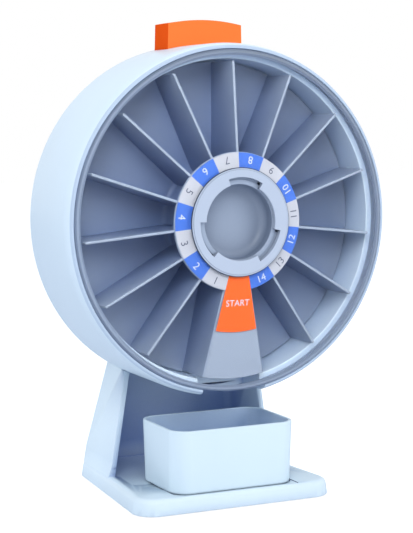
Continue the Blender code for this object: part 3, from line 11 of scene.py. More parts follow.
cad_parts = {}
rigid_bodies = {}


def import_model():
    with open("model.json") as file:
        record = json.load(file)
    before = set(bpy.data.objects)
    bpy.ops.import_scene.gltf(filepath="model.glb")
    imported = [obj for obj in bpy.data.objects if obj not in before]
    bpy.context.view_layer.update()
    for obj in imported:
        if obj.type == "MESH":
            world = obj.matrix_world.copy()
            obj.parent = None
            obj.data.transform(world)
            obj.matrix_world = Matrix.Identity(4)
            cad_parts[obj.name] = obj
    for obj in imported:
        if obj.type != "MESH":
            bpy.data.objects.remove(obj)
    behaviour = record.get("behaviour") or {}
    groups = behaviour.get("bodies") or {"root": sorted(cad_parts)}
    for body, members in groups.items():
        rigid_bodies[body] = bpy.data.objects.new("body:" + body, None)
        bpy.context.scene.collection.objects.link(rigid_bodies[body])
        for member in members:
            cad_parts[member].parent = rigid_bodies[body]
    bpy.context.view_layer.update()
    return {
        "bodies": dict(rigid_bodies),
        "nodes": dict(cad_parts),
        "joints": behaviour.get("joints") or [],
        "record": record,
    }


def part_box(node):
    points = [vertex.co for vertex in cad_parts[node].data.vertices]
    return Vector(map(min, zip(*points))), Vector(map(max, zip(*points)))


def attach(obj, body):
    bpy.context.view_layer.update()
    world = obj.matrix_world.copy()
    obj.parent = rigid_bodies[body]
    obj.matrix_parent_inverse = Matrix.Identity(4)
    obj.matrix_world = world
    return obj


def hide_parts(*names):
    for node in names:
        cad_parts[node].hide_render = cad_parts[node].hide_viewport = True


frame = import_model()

MM = 0.001

# Camera: a long lens a little above the drum's axis, to the left of the front, aimed as the photograph is.
# Its place was worked out from the drum's rim circles, the dividers, the button, the cup and the base.
LENS = 102.3
CAMERA_PLACE = Vector((-381.5, -796.2, 217.4)) * MM
CAMERA_YAW = 26.03
CAMERA_PITCH = 5.61
CAMERA_NEAR = 10 * MM


def linked(name, data):
    """A new object in the scene."""
    piece = bpy.data.objects.new(name, data)
    bpy.context.scene.collection.objects.link(piece)
    return piece


camera = linked("camera", bpy.data.cameras.new("camera"))
camera.data.lens = LENS
camera.data.clip_start = CAMERA_NEAR
camera.location = CAMERA_PLACE
camera.rotation_euler = (radians(90.0 - CAMERA_PITCH), 0.0, radians(-CAMERA_YAW))
bpy.context.scene.camera = camera
bpy.context.scene.view_settings.view_transform = "Standard"

# Studio: a pale floor, a key box high on the left, a weaker one on the right that glossy and clear pieces
# don't show, and two more on the far left and above. The sky is a soft cool blue as light, and white where
# it is seen, mirrored or looked at through clear plastic.
WHITE = (1.0, 1.0, 1.0, 1.0)
SKY_LIGHT = (0.72, 0.83, 1.0, 1.0)
SKY_STRENGTH = 0.55
FLOOR_SIZE = 8.0
FLOOR_GLOW = 0.84
FLOOR_BOUNCE = (0.78, 0.81, 0.88, 1.0)
FLOOR_SEEN = (0.50, 0.50, 0.50, 1.0)
FLOOR_ROUGHNESS = 0.9
UNSEEN_BOX = "side_box"
SOFT_BOXES = (
    # name, place, aim, width, height, power
    ("key_box", (-0.70, -1.25, 1.0), (0.0, 0.0, 0.14), 0.9, 0.9, 11.5),
    ("side_box", (1.0, -1.1, 0.6), (0.0, 0.0, 0.14), 0.7, 1.0, 8.0),
    ("left_box", (-1.3, 0.35, 0.8), (0.0, 0.0, 0.18), 0.8, 1.2, 5.0),
    ("top_box", (0.1, 0.35, 1.4), (0.0, 0.0, 0.12), 1.2, 0.8, 4.5),
)


def meshed(name, bm):
    """The mesh of a finished bmesh."""
    mesh = bpy.data.meshes.new(name)
    bm.to_mesh(mesh)
    bm.free()
    return mesh


def maths(tree, operation, first, second):
    """The output of a Math node on two values, each a socket or a number."""
    node = tree.nodes.new("ShaderNodeMath")
    node.operation = operation
    for value, socket in zip((first, second), node.inputs):
        if isinstance(value, float):
            socket.default_value = value
        else:
            tree.links.new(value, socket)
    return node.outputs[0]


world = bpy.data.worlds.new("studio_sky")
world.use_nodes = True
nodes, links = world.node_tree.nodes, world.node_tree.links
nodes.clear()
rays = nodes.new("ShaderNodeLightPath").outputs
seen = maths(world.node_tree, "MAXIMUM", rays["Is Camera Ray"], rays["Is Glossy Ray"])
seen = maths(world.node_tree, "MAXIMUM", seen, rays["Is Transmission Ray"])
lit, white = nodes.new("ShaderNodeBackground"), nodes.new("ShaderNodeBackground")
lit.inputs["Color"].default_value = SKY_LIGHT
lit.inputs["Strength"].default_value = SKY_STRENGTH
white.inputs["Color"].default_value = WHITE
sky = nodes.new("ShaderNodeMixShader")
links.new(seen, sky.inputs[0])
links.new(lit.outputs[0], sky.inputs[1])
links.new(white.outputs[0], sky.inputs[2])
links.new(sky.outputs[0], nodes.new("ShaderNodeOutputWorld").inputs["Surface"])
bpy.context.scene.world = world

bm = bmesh.new()
bmesh.ops.create_grid(bm, x_segments=1, y_segments=1, size=FLOOR_SIZE / 2)
floor = linked("studio_floor", meshed("studio_floor", bm))
floor_paint = bpy.data.materials.new("studio_floor_paint")
floor_paint.use_nodes = True
tree = floor_paint.node_tree
paint = tree.nodes["Principled BSDF"]
paint.inputs["Roughness"].default_value = FLOOR_ROUGHNESS
paint.inputs["Specular IOR Level"].default_value = 0.0
rays = tree.nodes.new("ShaderNodeLightPath").outputs
bounce = tree.nodes.new("ShaderNodeMix")
bounce.data_type = "RGBA"
bounce.inputs["A"].default_value = FLOOR_BOUNCE
bounce.inputs["B"].default_value = FLOOR_SEEN
tree.links.new(rays["Is Camera Ray"], bounce.inputs["Factor"])
tree.links.new(bounce.outputs["Result"], paint.inputs["Base Color"])
paint.inputs["Emission Color"].default_value = WHITE
tree.links.new(maths(tree, "MULTIPLY", rays["Is Camera Ray"], FLOOR_GLOW), paint.inputs["Emission Strength"])
floor.data.materials.append(floor_paint)

for name, place, aim, width, height, power in SOFT_BOXES:
    light = bpy.data.lights.new(name, "AREA")
    light.shape = "RECTANGLE"
    light.size = width
    light.size_y = height
    light.energy = power
    lamp = linked(name, light)
    lamp.location = place
    lamp.rotation_euler = (Vector(aim) - Vector(place)).to_track_quat("-Z", "Y").to_euler()
    lamp.visible_glossy = name != UNSEEN_BOX
    lamp.visible_transmission = name != UNSEEN_BOX

# Moulded plastic: every coloured piece is a satin moulding. One node group gives the fine spark-eroded
# grain, the slow drift of gloss and colour, and a painted shade that turns its hollows a darker, bluer tone.
GRAIN_SIZE = 2600.0
GRAIN_DETAIL = 2.0
GRAIN_HEIGHT = 0.05 * MM
DRIFT_SIZE = 14.0
DRIFT_DETAIL = 3.0
SHADE_REACH = 60 * MM
SHADE_SAMPLES = 6
SHADE_TINT = (0.30, 0.42, 0.72)


def grain_group():
    """Node group: a colour that drifts slowly and turns to a painted shade in hollows, a roughness that
    drifts with it, and the height of a fine grain."""
    group = bpy.data.node_groups.new("moulded_grain_and_painted_shade", "ShaderNodeTree")
    for name, way, kind in (
        ("Colour", "INPUT", "Color"), ("Roughness", "INPUT", "Float"), ("Drift", "INPUT", "Float"),
        ("Shade", "INPUT", "Color"), ("Colour", "OUTPUT", "Color"), ("Roughness", "OUTPUT", "Float"),
        ("Height", "OUTPUT", "Float"),
    ):
        group.interface.new_socket(name, in_out=way, socket_type=f"NodeSocket{kind}")
    nodes, links = group.nodes, group.links
    given, made = nodes.new("NodeGroupInput"), nodes.new("NodeGroupOutput")
    place = nodes.new("ShaderNodeTexCoord")
    drift, grain = nodes.new("ShaderNodeTexNoise"), nodes.new("ShaderNodeTexNoise")
    for noise, size, detail in ((drift, DRIFT_SIZE, DRIFT_DETAIL), (grain, GRAIN_SIZE, GRAIN_DETAIL)):
        noise.inputs["Scale"].default_value = size
        noise.inputs["Detail"].default_value = detail
        links.new(place.outputs["Object"], noise.inputs["Vector"])
    centred = maths(group, "SUBTRACT", drift.outputs["Fac"], 0.5)
    swing = maths(group, "MULTIPLY", centred, given.outputs["Drift"])
    tint = nodes.new("ShaderNodeVectorMath")
    tint.operation = "SCALE"
    links.new(given.outputs["Colour"], tint.inputs[0])
    links.new(maths(group, "ADD", swing, 1.0), tint.inputs["Scale"])
    # Painted shade: ambient occlusion mixes the colour towards the shade in hollows of the same piece.
    open_sky = nodes.new("ShaderNodeAmbientOcclusion")
    open_sky.only_local = True
    open_sky.samples = SHADE_SAMPLES
    open_sky.inputs["Distance"].default_value = SHADE_REACH
    painted_shade_mix = nodes.new("ShaderNodeMix")
    painted_shade_mix.data_type = "RGBA"
    links.new(open_sky.outputs["AO"], painted_shade_mix.inputs["Factor"])
    links.new(given.outputs["Shade"], painted_shade_mix.inputs["A"])
    links.new(tint.outputs["Vector"], painted_shade_mix.inputs["B"])
    links.new(painted_shade_mix.outputs["Result"], made.inputs["Colour"])
    links.new(maths(group, "ADD", given.outputs["Roughness"], swing), made.inputs["Roughness"])
    links.new(grain.outputs["Fac"], made.inputs["Height"])
    return group


GRAIN_AND_SHADE = grain_group()


def moulded(name, colour, roughness=0.4, drift=0.12, grain=0.06, shine=0.28, shade=SHADE_TINT):
    """A satin moulded plastic. Its colour times the shade is the painted shade that its hollows turn to."""
    finish = bpy.data.materials.new(name)
    finish.use_nodes = True
    tree = finish.node_tree
    shader = tree.nodes["Principled BSDF"]
    surface = tree.nodes.new("ShaderNodeGroup")
    surface.node_tree = GRAIN_AND_SHADE
    surface.inputs["Colour"].default_value = (*colour, 1.0)
    surface.inputs["Roughness"].default_value = roughness
    surface.inputs["Drift"].default_value = drift
    surface.inputs["Shade"].default_value = (*[part * tone for part, tone in zip(colour, shade)], 1.0)
    bump = tree.nodes.new("ShaderNodeBump")
    bump.inputs["Strength"].default_value = grain
    bump.inputs["Distance"].default_value = GRAIN_HEIGHT
    tree.links.new(surface.outputs["Colour"], shader.inputs["Base Color"])
    tree.links.new(surface.outputs["Roughness"], shader.inputs["Roughness"])
    tree.links.new(surface.outputs["Height"], bump.inputs["Height"])
    tree.links.new(bump.outputs["Normal"], shader.inputs["Normal"])
    shader.inputs["Specular IOR Level"].default_value = shine
    return finish


# Drum housing: the pale blue front shell, injection moulded in one piece. It has the round outer wall, the
# stepped seat for the lid, the liner that closes the pockets, the partition behind them and the outlet.
PALE_BLUE = moulded("pale_blue_plastic", (0.68, 0.79, 0.86))
# Painted shade: the shell's front edge by the lid's seam is a darker blue, for the shadow in that seam.
RIM_SHADE_BLUE = moulded("shell_rim_painted_shade", (0.50, 0.60, 0.72))
RIM_SHADE_DEPTH = 1.0 * MM
# Play between pieces, how far a cutter passes a face, and how far joined solids overlap
GAP = 0.3 * MM
OVERRUN = 2.0 * MM
BITE = 0.2 * MM
WELD = 0.004 * MM
POLE_RADIUS = 0.01 * MM
SEGMENTS = 180
FILLET_STEPS = 4
FILLET_SHARE = 0.48
STRAIGHT_HALF = 1.55
SHARP_ANGLE = 32.0
SHELL_WALL = 2.5 * MM
SHELL_LIP = 0.6 * MM
SHELL_ROUND = 9.0 * MM
SHELL_ROUND_STEPS = 12
SEAM_RADIUS = 95.1 * MM
LINER_RADIUS = 89.9 * MM
LINER_WALL = 2.3 * MM
SHELF_DEPTH = 7.5 * MM
SHELF_THICKNESS = 2.3 * MM
PARTITION_DEPTH = 31.0 * MM
PARTITION_THICKNESS = 2.5 * MM
RATCHET_SEAT = 4.0 * MM
WHEEL_FLOOR = 2.3 * MM
OUTLET_HALF_WIDTH = 19.5 * MM
CHUTE_WALL = 2.0 * MM
BOSS_CIRCLE = 86.0 * MM
BOSS_RADIUS = 4.0 * MM
BOSS_ANGLES = (45, 135, 225, 315)
SLOT_HALF_WIDTH = 23.8 * MM
SLOT_REACH = 6.0 * MM
COVER_THICKNESS = 2.7 * MM

AXIS = Vector(next(joint for joint in frame["joints"] if joint["name"] == "lock_turn")["pos_m"])
SHELL_LOW, SHELL_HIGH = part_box("drum_housing")
DRUM_CENTRE = Vector((AXIS.x, SHELL_LOW.y, AXIS.z))
DRUM_RADIUS = AXIS.z - SHELL_LOW.z
DRUM_DEPTH = SHELL_HIGH.y - SHELL_LOW.y
SHELL_BORE = DRUM_RADIUS - SHELL_WALL
COVER_DEPTH = DRUM_DEPTH - COVER_THICKNESS
PARTITION_REAR = PARTITION_DEPTH + PARTITION_THICKNESS
FLOOR_DEPTH = PARTITION_DEPTH - GAP - WHEEL_FLOOR
BUTTON_LOW, BUTTON_HIGH = (corner - DRUM_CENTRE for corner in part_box("button_cap"))


def filleted(corners, steps=FILLET_STEPS):
    """A closed outline from (a, b, radius) corners, each rounded as far as its sides allow."""
    points = []
    for i, (a, b, size) in enumerate(corners):
        here = Vector((a, b))
        before = Vector(corners[i - 1][:2]) - here
        after = Vector(corners[(i + 1) % len(corners)][:2]) - here
        half = before.angle(after) / 2
        if size == 0.0 or half > STRAIGHT_HALF:
            points.append((a, b))
            continue
        reach = min(size / tan(half), before.length * FILLET_SHARE, after.length * FILLET_SHARE)
        middle = here + (before.normalized() + after.normalized()).normalized() * (reach / cos(half))
        first = here + before.normalized() * reach - middle
        last = here + after.normalized() * reach - middle
        turn = first.angle_signed(last)
        for k in range(steps + 1):
            spot = first.copy()
            spot.rotate(Matrix.Rotation(-turn * k / steps, 2))
            points.append(tuple(middle + spot))
    return points


def smooth(mesh, angle=SHARP_ANGLE):
    """Shade smooth but for the sharp edges, faces outwards."""
    bm = bmesh.new()
    bm.from_mesh(mesh)
    bmesh.ops.remove_doubles(bm, verts=bm.verts[:], dist=WELD)
    bmesh.ops.recalc_face_normals(bm, faces=bm.faces[:])
    if bm.calc_volume(signed=True) < 0:
        bmesh.ops.reverse_faces(bm, faces=bm.faces[:])
    bm.to_mesh(mesh)
    bm.free()
    mesh.shade_smooth()
    mesh.set_sharp_from_angle(angle=radians(angle))
    return mesh


def turned(name, profile, sweep=360.0, start=0.0, segments=None):
    """A mesh turned about the drum's axis from (radius, depth) points. Angles count clockwise from
    straight down, seen from the front."""
    bm = bmesh.new()
    verts = [bm.verts.new((r, 0.0, -depth)) for r, depth in profile]
    if sweep == 360.0:
        geometry = verts + [bm.edges.new(pair) for pair in zip(verts, verts[1:] + verts[:1])]
    else:
        geometry = [bm.faces.new(verts)]
        geometry += list(geometry[0].edges) + verts
    steps = segments or max(1, round(SEGMENTS * sweep / 360.0))
    bmesh.ops.spin(bm, geom=geometry, cent=(0.0, 0.0, 0.0), axis=(0.0, 0.0, 1.0), angle=-radians(sweep),
                   steps=steps)
    bmesh.ops.remove_doubles(bm, verts=bm.verts[:], dist=WELD)
    poles = [v for v in bm.verts if v.co.xy.length < POLE_RADIUS]
    bmesh.ops.dissolve_verts(bm, verts=poles)
    mesh = meshed(name, bm)
    to_drum = Matrix.Translation(DRUM_CENTRE) @ Matrix.Rotation(pi / 2 + radians(start), 4, "Y")
    mesh.transform(to_drum @ Matrix.Rotation(pi / 2, 4, "X"))
    return smooth(mesh)


def block(name, low, high, edge=0.0):
    """A box between two corners counted from the drum's centre, its edges rounded."""
    bm = bmesh.new()
    bmesh.ops.create_cube(bm, size=1.0)
    low, high = Vector(low), Vector(high)
    bmesh.ops.scale(bm, vec=high - low, verts=bm.verts[:])
    bmesh.ops.translate(bm, vec=(high + low) / 2 + DRUM_CENTRE, verts=bm.verts[:])
    if edge:
        bmesh.ops.bevel(bm, geom=bm.edges[:], offset=edge, segments=3, profile=0.5, affect="EDGES")
    return meshed(name, bm)


def rod(name, radius, depth_from, depth_to, across, up, steps=32):
    """A cylinder along the drum's axis."""
    bm = bmesh.new()
    bmesh.ops.create_cone(bm, cap_ends=True, segments=steps, radius1=radius, radius2=radius,
                          depth=depth_to - depth_from)
    mesh = meshed(name, bm)
    spot = DRUM_CENTRE + Vector((across, (depth_from + depth_to) / 2, up))
    mesh.transform(Matrix.Translation(spot) @ Matrix.Rotation(pi / 2, 4, "X"))
    return mesh


def baked(piece, *helpers):
    """The mesh that an object's curve or modifiers make. The object and its helpers go."""
    graph = bpy.context.evaluated_depsgraph_get()
    graph.update()
    mesh = bpy.data.meshes.new_from_object(piece.evaluated_get(graph))
    for spent in (piece, *helpers):
        bpy.data.objects.remove(spent, do_unlink=True)
    return mesh


def combined(mesh, others, operation):
    """The mesh joined to, or cut by, other closed meshes."""
    base = linked("base", mesh)
    helpers = [linked("helper", other) for other in others]
    for helper in helpers:
        step = base.modifiers.new("step", "BOOLEAN")
        step.operation = operation
        step.solver = "EXACT"
        step.object = helper
    return smooth(baked(base, *helpers))


def joined(mesh, *others):
    return combined(mesh, others, "UNION")


def cut(mesh, *others):
    return combined(mesh, others, "DIFFERENCE")


def toned(mesh, finishes, choose):
    """The mesh in several finishes. The choice for a face is its finish's place in the list."""
    mesh.materials.clear()
    for finish in finishes:
        mesh.materials.append(finish)
    for face in mesh.polygons:
        face.material_index = int(choose(face))
    return mesh


def from_centre(face):
    """A face's middle counted from the drum's centre, and how far it is from the axis."""
    spot = face.center - DRUM_CENTRE
    return spot, hypot(spot.x, spot.z)


def fitted(name, mesh, finish, body, slot, *nodes):
    """Put a piece in the scene on its body, in place of CAD nodes."""
    piece = linked(name, mesh)
    if finish:
        mesh.materials.clear()
        mesh.materials.append(finish)
    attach(piece, body)
    if nodes:
        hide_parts(*nodes)


def polar(radius, angle):
    """Across and up of a point, the angle clockwise from straight down as seen in front."""
    return (-radius * sin(radians(angle)), -radius * cos(radians(angle)))


def shell_tone(face):
    """Painted shade: a darker blue on the shell's front edge, next to the seam with the lid."""
    spot, reach = from_centre(face)
    return spot.y < RIM_SHADE_DEPTH and reach > SEAM_RADIUS


lip = DRUM_RADIUS - SEAM_RADIUS - SHELL_LIP
turns = [pi * i / (2 * SHELL_ROUND_STEPS) for i in range(SHELL_ROUND_STEPS + 1)]
swell = [(DRUM_RADIUS - lip + lip * sin(t), SHELL_ROUND - SHELL_ROUND * cos(t), 0.0) for t in turns]
partition_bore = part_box("ratchet_ring")[1][0] - RATCHET_SEAT
shell = turned("drum_shell", filleted([
    (SEAM_RADIUS, 0.0, 0.3 * MM),
    *swell,
    (DRUM_RADIUS, DRUM_DEPTH, 1.6 * MM),
    (SHELL_BORE, DRUM_DEPTH, 0.3 * MM),
    (SHELL_BORE, SHELF_DEPTH + SHELF_THICKNESS, 0.5 * MM),
    (LINER_RADIUS + LINER_WALL, SHELF_DEPTH + SHELF_THICKNESS, 0.5 * MM),
    (LINER_RADIUS + LINER_WALL, PARTITION_REAR, 0.6 * MM),
    (partition_bore, PARTITION_REAR, 0.3 * MM),
    (partition_bore, PARTITION_DEPTH, 0.3 * MM),
    (LINER_RADIUS, PARTITION_DEPTH, 0.5 * MM),
    (LINER_RADIUS, SHELF_DEPTH, 0.6 * MM),
    (SEAM_RADIUS, SHELF_DEPTH, 0.5 * MM),
]))
chute_low = -sqrt((SHELL_BORE + SHELL_WALL / 2) ** 2 - (OUTLET_HALF_WIDTH + CHUTE_WALL) ** 2)
chute_high = -sqrt((LINER_RADIUS + LINER_WALL / 2) ** 2 - (OUTLET_HALF_WIDTH + CHUTE_WALL / 2) ** 2)
inner = PARTITION_REAR - PARTITION_THICKNESS / 2
chute = [block("chute_rear", (-OUTLET_HALF_WIDTH - CHUTE_WALL / 2, FLOOR_DEPTH, chute_low),
               (OUTLET_HALF_WIDTH + CHUTE_WALL / 2, inner, -LINER_RADIUS - LINER_WALL / 2))]
for left in (-OUTLET_HALF_WIDTH - CHUTE_WALL, OUTLET_HALF_WIDTH):
    chute.append(block("chute_side", (left, SHELF_DEPTH + SHELF_THICKNESS / 2, chute_low - BITE),
                       (left + CHUTE_WALL, inner - 2 * BITE, chute_high)))
bosses = [rod("boss", BOSS_RADIUS, inner, COVER_DEPTH - GAP, *polar(BOSS_CIRCLE, angle))
          for angle in BOSS_ANGLES]
outlet = block("outlet", (-OUTLET_HALF_WIDTH, -OVERRUN, -DRUM_RADIUS - OVERRUN),
               (OUTLET_HALF_WIDTH, FLOOR_DEPTH, OVERRUN - sqrt(LINER_RADIUS**2 - OUTLET_HALF_WIDTH**2)))
slot = block("button_slot", (-SLOT_HALF_WIDTH, BUTTON_LOW.y - GAP, SHELL_BORE - SLOT_REACH),
             (SLOT_HALF_WIDTH, BUTTON_HIGH.y + GAP, DRUM_RADIUS + OVERRUN))
shell = toned(cut(joined(shell, *chute, *bosses), outlet, slot), (PALE_BLUE, RIM_SHADE_BLUE), shell_tone)
fitted("drum_shell", shell, None, "frame", "shell", "drum_housing")


# Back cover: a flat disc set inside the shell's rear edge and held by four screws. It has two keyholes for
# wall screws, and two bosses that the stand is screwed into.
SCREW_HEAD = 2.9 * MM
SCREW_HEAD_THICKNESS = 1.3 * MM
SCREW_SHANK = 1.4 * MM
SCREW_BORE = 9.0 * MM
BORE_STEPS = 20
SCREWS = [node for node in frame["nodes"] if "_screw_" in node]
COVER_EDGE = 0.3 * MM
COVER_BOSS_ACROSS = 12.0 * MM
COVER_BOSS_HEIGHT = -20.0 * MM
COVER_BOSS_LENGTH = 6.3 * MM
COVER_BOSS_SUNK = 1.0 * MM
KEYHOLE_ACROSS = 35.0 * MM
KEYHOLE_HEIGHT = 45.0 * MM
KEYHOLE_RADIUS = 4.6 * MM
KEYHOLE_SLOT_HALF = 2.3 * MM
KEYHOLE_SLOT_LENGTH = 9.0 * MM
EDGE_STEPS = 2


def arc(radius, start, end, steps):
    """Points on a circle about the drum's axis."""
    return [polar(radius, start + (end - start) * i / steps) for i in range(steps + 1)]


def bend(centre_a, centre_b, size, start, end, steps):
    """Points of a round corner, its centre given, angles in degrees."""
    turns = [radians(start + (end - start) * i / steps) for i in range(steps + 1)]
    return [(centre_a + size * cos(t), centre_b + size * sin(t)) for t in turns]


def extruded(name, loops, thickness, frame, edge=0.0):
    """Closed loops drawn in the frame's XY plane, given a thickness about it and rounded edges."""
    curve = bpy.data.curves.new(name, "CURVE")
    curve.dimensions = "2D"
    curve.fill_mode = "BOTH"
    curve.extrude = thickness / 2 - edge
    curve.bevel_depth = edge
    curve.bevel_resolution = EDGE_STEPS if edge else 0
    curve.offset = -edge
    for loop in loops:
        spline = curve.splines.new("POLY")
        spline.points.add(len(loop) - 1)
        for point, (x, y) in zip(spline.points, loop):
            point.co = (x, y, 0.0, 1.0)
        spline.use_cyclic_u = True
    mesh = baked(linked(name, curve))
    mesh.transform(frame)
    return smooth(mesh)


def plate(name, outline, depth_from, depth_to, holes=(), edge=0.0):
    """A flat piece square to the drum's axis, from (across, up) points."""
    middle = DRUM_CENTRE + Vector((0.0, (depth_from + depth_to) / 2, 0.0))
    frame = Matrix.Translation(middle) @ Matrix.Rotation(pi / 2, 4, "X")
    return extruded(name, (outline, *holes), depth_to - depth_from, frame, edge)


def screw_spot(node):
    """Across, up and seat depth of a screw, from its solid."""
    low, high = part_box(node)
    middle = (low + high) / 2 - DRUM_CENTRE
    return middle.x, middle.z, high.y - DRUM_CENTRE.y - SCREW_HEAD_THICKNESS


lean = degrees(asin(KEYHOLE_SLOT_HALF / KEYHOLE_RADIUS))
slot_end = KEYHOLE_HEIGHT + KEYHOLE_SLOT_LENGTH - KEYHOLE_SLOT_HALF
keyholes, cover_bosses, sinks = [], [], []
for side in (-1, 1):
    across = side * KEYHOLE_ACROSS
    keyholes.append([*bend(across, KEYHOLE_HEIGHT, KEYHOLE_RADIUS, 90.0 + lean, 450.0 - lean, steps=40),
                     *bend(across, slot_end, KEYHOLE_SLOT_HALF, 0.0, 180.0, steps=16)])
    cover_bosses.append(rod("cover_boss", BOSS_RADIUS, COVER_DEPTH - COVER_BOSS_LENGTH,
                            COVER_DEPTH + COVER_BOSS_SUNK, side * COVER_BOSS_ACROSS, COVER_BOSS_HEIGHT))
for node in SCREWS:
    x, z, seat = screw_spot(node)
    sinks.append(rod("sink", SCREW_SHANK + GAP, seat - SCREW_BORE, DRUM_DEPTH + OVERRUN, x, z, BORE_STEPS))
    if not node.startswith("stand_screw"):
        sinks.append(rod("sink", SCREW_HEAD + GAP, seat - GAP, DRUM_DEPTH + OVERRUN, x, z))
disc_outline = arc(SHELL_BORE - GAP, 0.0, 360.0 - 360.0 / SEGMENTS, SEGMENTS - 1)
cover = plate("back_cover", disc_outline, COVER_DEPTH, DRUM_DEPTH, keyholes, COVER_EDGE)
fitted("cover", cut(joined(cover, *cover_bosses), *sinks), PALE_BLUE, "frame", "shell", "back_cover")


# Hub core: the fixed post that the wheel turns on, moulded in a greyer blue and screwed to the back
# cover. Its front is the finger recess; three bayonet ears just behind its rim hold the lock ring.
# Painted shade: its recess and other hollows are painted towards a dark grey-blue.
CORE_BLUE = moulded("core_plastic", (0.37, 0.43, 0.53), 0.34, shade=(0.14, 0.18, 0.26))
CORE_RADIUS = 23.6 * MM
CORE_BORE = 20.8 * MM
CORE_FRONT = 4.9 * MM
RECESS_FLOOR = 4.5 * MM
RECESS_ROUND = 7.5 * MM
JOURNAL_RADIUS = 11.8 * MM
JOURNAL_START = 42.8 * MM
EAR_ANGLE = 44.0
EAR_REACH = 1.6 * MM
EAR_THICKNESS = 2.0 * MM
EAR_SETBACK = 0.4 * MM
NOTCH_START = 6.8
NOTCH_MIDDLES = [180.0 + NOTCH_START + 120.0 * i for i in range(3)]
HUB_SCREW_CIRCLE = 7.2 * MM
HUB_SCREW_ANGLES = (60.0, 180.0, 300.0)
HUB_SCREW_BORE = 6.0 * MM


def band(name, inner, outer, front, rear, sweep=360.0, start=0.0):
    """A ring, or part of one, with a square section."""
    return turned(name, [(inner, front), (outer, front), (outer, rear), (inner, rear)], sweep, start)


core = turned("core", [
    (0.0, RECESS_FLOOR),
    *filleted([
        (0.0, RECESS_FLOOR, 0.0),
        (CORE_BORE, RECESS_FLOOR, RECESS_ROUND),
        (CORE_BORE, -CORE_FRONT, 0.5 * MM),
        (CORE_RADIUS, -CORE_FRONT, 0.4 * MM),
        (CORE_RADIUS, JOURNAL_START, 0.4 * MM),
        (JOURNAL_RADIUS, JOURNAL_START, 0.0),
        (JOURNAL_RADIUS, COVER_DEPTH - GAP, 0.4 * MM),
        (0.0, COVER_DEPTH - GAP, 0.0),
    ], steps=8)[1:],
])
ears = [band("ear", CORE_RADIUS - EAR_REACH / 2, CORE_RADIUS + EAR_REACH, -CORE_FRONT + EAR_SETBACK,
             -CORE_FRONT + EAR_THICKNESS, EAR_ANGLE, middle - EAR_ANGLE / 2) for middle in NOTCH_MIDDLES]
bores = [rod("bore", SCREW_SHANK + GAP, COVER_DEPTH - HUB_SCREW_BORE, COVER_DEPTH + OVERRUN,
             *polar(HUB_SCREW_CIRCLE, angle), BORE_STEPS) for angle in HUB_SCREW_ANGLES]
core = cut(joined(core, *ears), *bores)
fitted("core", core, CORE_BLUE, "frame", "shell", "hub_core")


# Pocket wheel: fourteen open pockets and a closed START sector in one moulding, greyer than the shell. A
# sloping ledge round the hub carries the numbers, and thin dividers with rounded tops part the pockets.
WHEEL_GREY = moulded("wheel_plastic", (0.33, 0.385, 0.47), 0.36)
SECTOR_COUNT = 15
INDEX_ANGLE = 360.0 / SECTOR_COUNT
WHEEL_RADIUS = 88.9 * MM
HUB_TUBE_RADIUS = 26.6 * MM
WHEEL_BORE = 24.0 * MM
HUB_POCKET_RADIUS = 27.3 * MM
HUB_POCKET_DEPTH = 1.5 * MM
HUB_SLEEVE_RADIUS = 29.6 * MM
LEDGE_RADIUS = 38.6 * MM
LEDGE_THICKNESS = 1.8 * MM
DIVIDER_THICKNESS = 1.5 * MM
DIVIDER_EDGE = 0.45 * MM
WALL_SUNK = 0.4 * MM
START_WALL = 1.8 * MM
START_TOP = 0.2 * MM
START_UNDERSIDE = 1.6 * MM
CONE_INNER = 31.0 * MM
CONE_SLOPE = 0.105
WHEEL_FRONT = 4.3 * MM
TUBE_END = 42.0 * MM


def cone_front(radius, lift=0.0):
    """Depth of the wheel's conical front at a radius, raised towards the viewer by a lift."""
    return -WHEEL_FRONT + CONE_SLOPE * (radius - CONE_INNER) - lift


def fin(name, profile, thickness, angle, edge=0.0):
    """A flat wall along a radius of the drum, from (radius, depth) points."""
    turn = Matrix.Rotation(pi / 2 + radians(angle), 4, "Y")
    return extruded(name, (profile,), thickness, Matrix.Translation(DRUM_CENTRE) @ turn, edge)


wheel = turned("wheel", filleted([
    (HUB_POCKET_RADIUS, cone_front(HUB_POCKET_RADIUS), 0.3 * MM),
    (LEDGE_RADIUS, cone_front(LEDGE_RADIUS), 0.5 * MM),
    (LEDGE_RADIUS, cone_front(LEDGE_RADIUS, -LEDGE_THICKNESS), 0.4 * MM),
    (HUB_SLEEVE_RADIUS, cone_front(HUB_SLEEVE_RADIUS, -LEDGE_THICKNESS), 0.6 * MM),
    (HUB_SLEEVE_RADIUS, FLOOR_DEPTH, 3.0 * MM),
    (WHEEL_RADIUS, FLOOR_DEPTH, 0.4 * MM),
    (WHEEL_RADIUS, FLOOR_DEPTH + WHEEL_FLOOR, 0.4 * MM),
    (HUB_TUBE_RADIUS, FLOOR_DEPTH + WHEEL_FLOOR, 0.4 * MM),
    (HUB_TUBE_RADIUS, TUBE_END, 0.3 * MM),
    (WHEEL_BORE, TUBE_END, 0.3 * MM),
    (WHEEL_BORE, HUB_POCKET_DEPTH, 0.3 * MM),
    (HUB_POCKET_RADIUS, HUB_POCKET_DEPTH, 0.3 * MM),
], steps=3))
inner, outer = HUB_SLEEVE_RADIUS - WALL_SUNK, WHEEL_RADIUS - WALL_SUNK
sunk = FLOOR_DEPTH + WALL_SUNK
wall = filleted([
    (inner, cone_front(inner, -WALL_SUNK), 0.0),
    (outer, cone_front(outer, -WALL_SUNK), 0.8 * MM),
    (outer, sunk, 0.0),
    (inner, sunk, 0.0),
])
dividers = [fin("divider", wall, DIVIDER_THICKNESS, INDEX_ANGLE * (i + 0.5), DIVIDER_EDGE)
            for i in range(SECTOR_COUNT)]
inner = LEDGE_RADIUS - WALL_SUNK
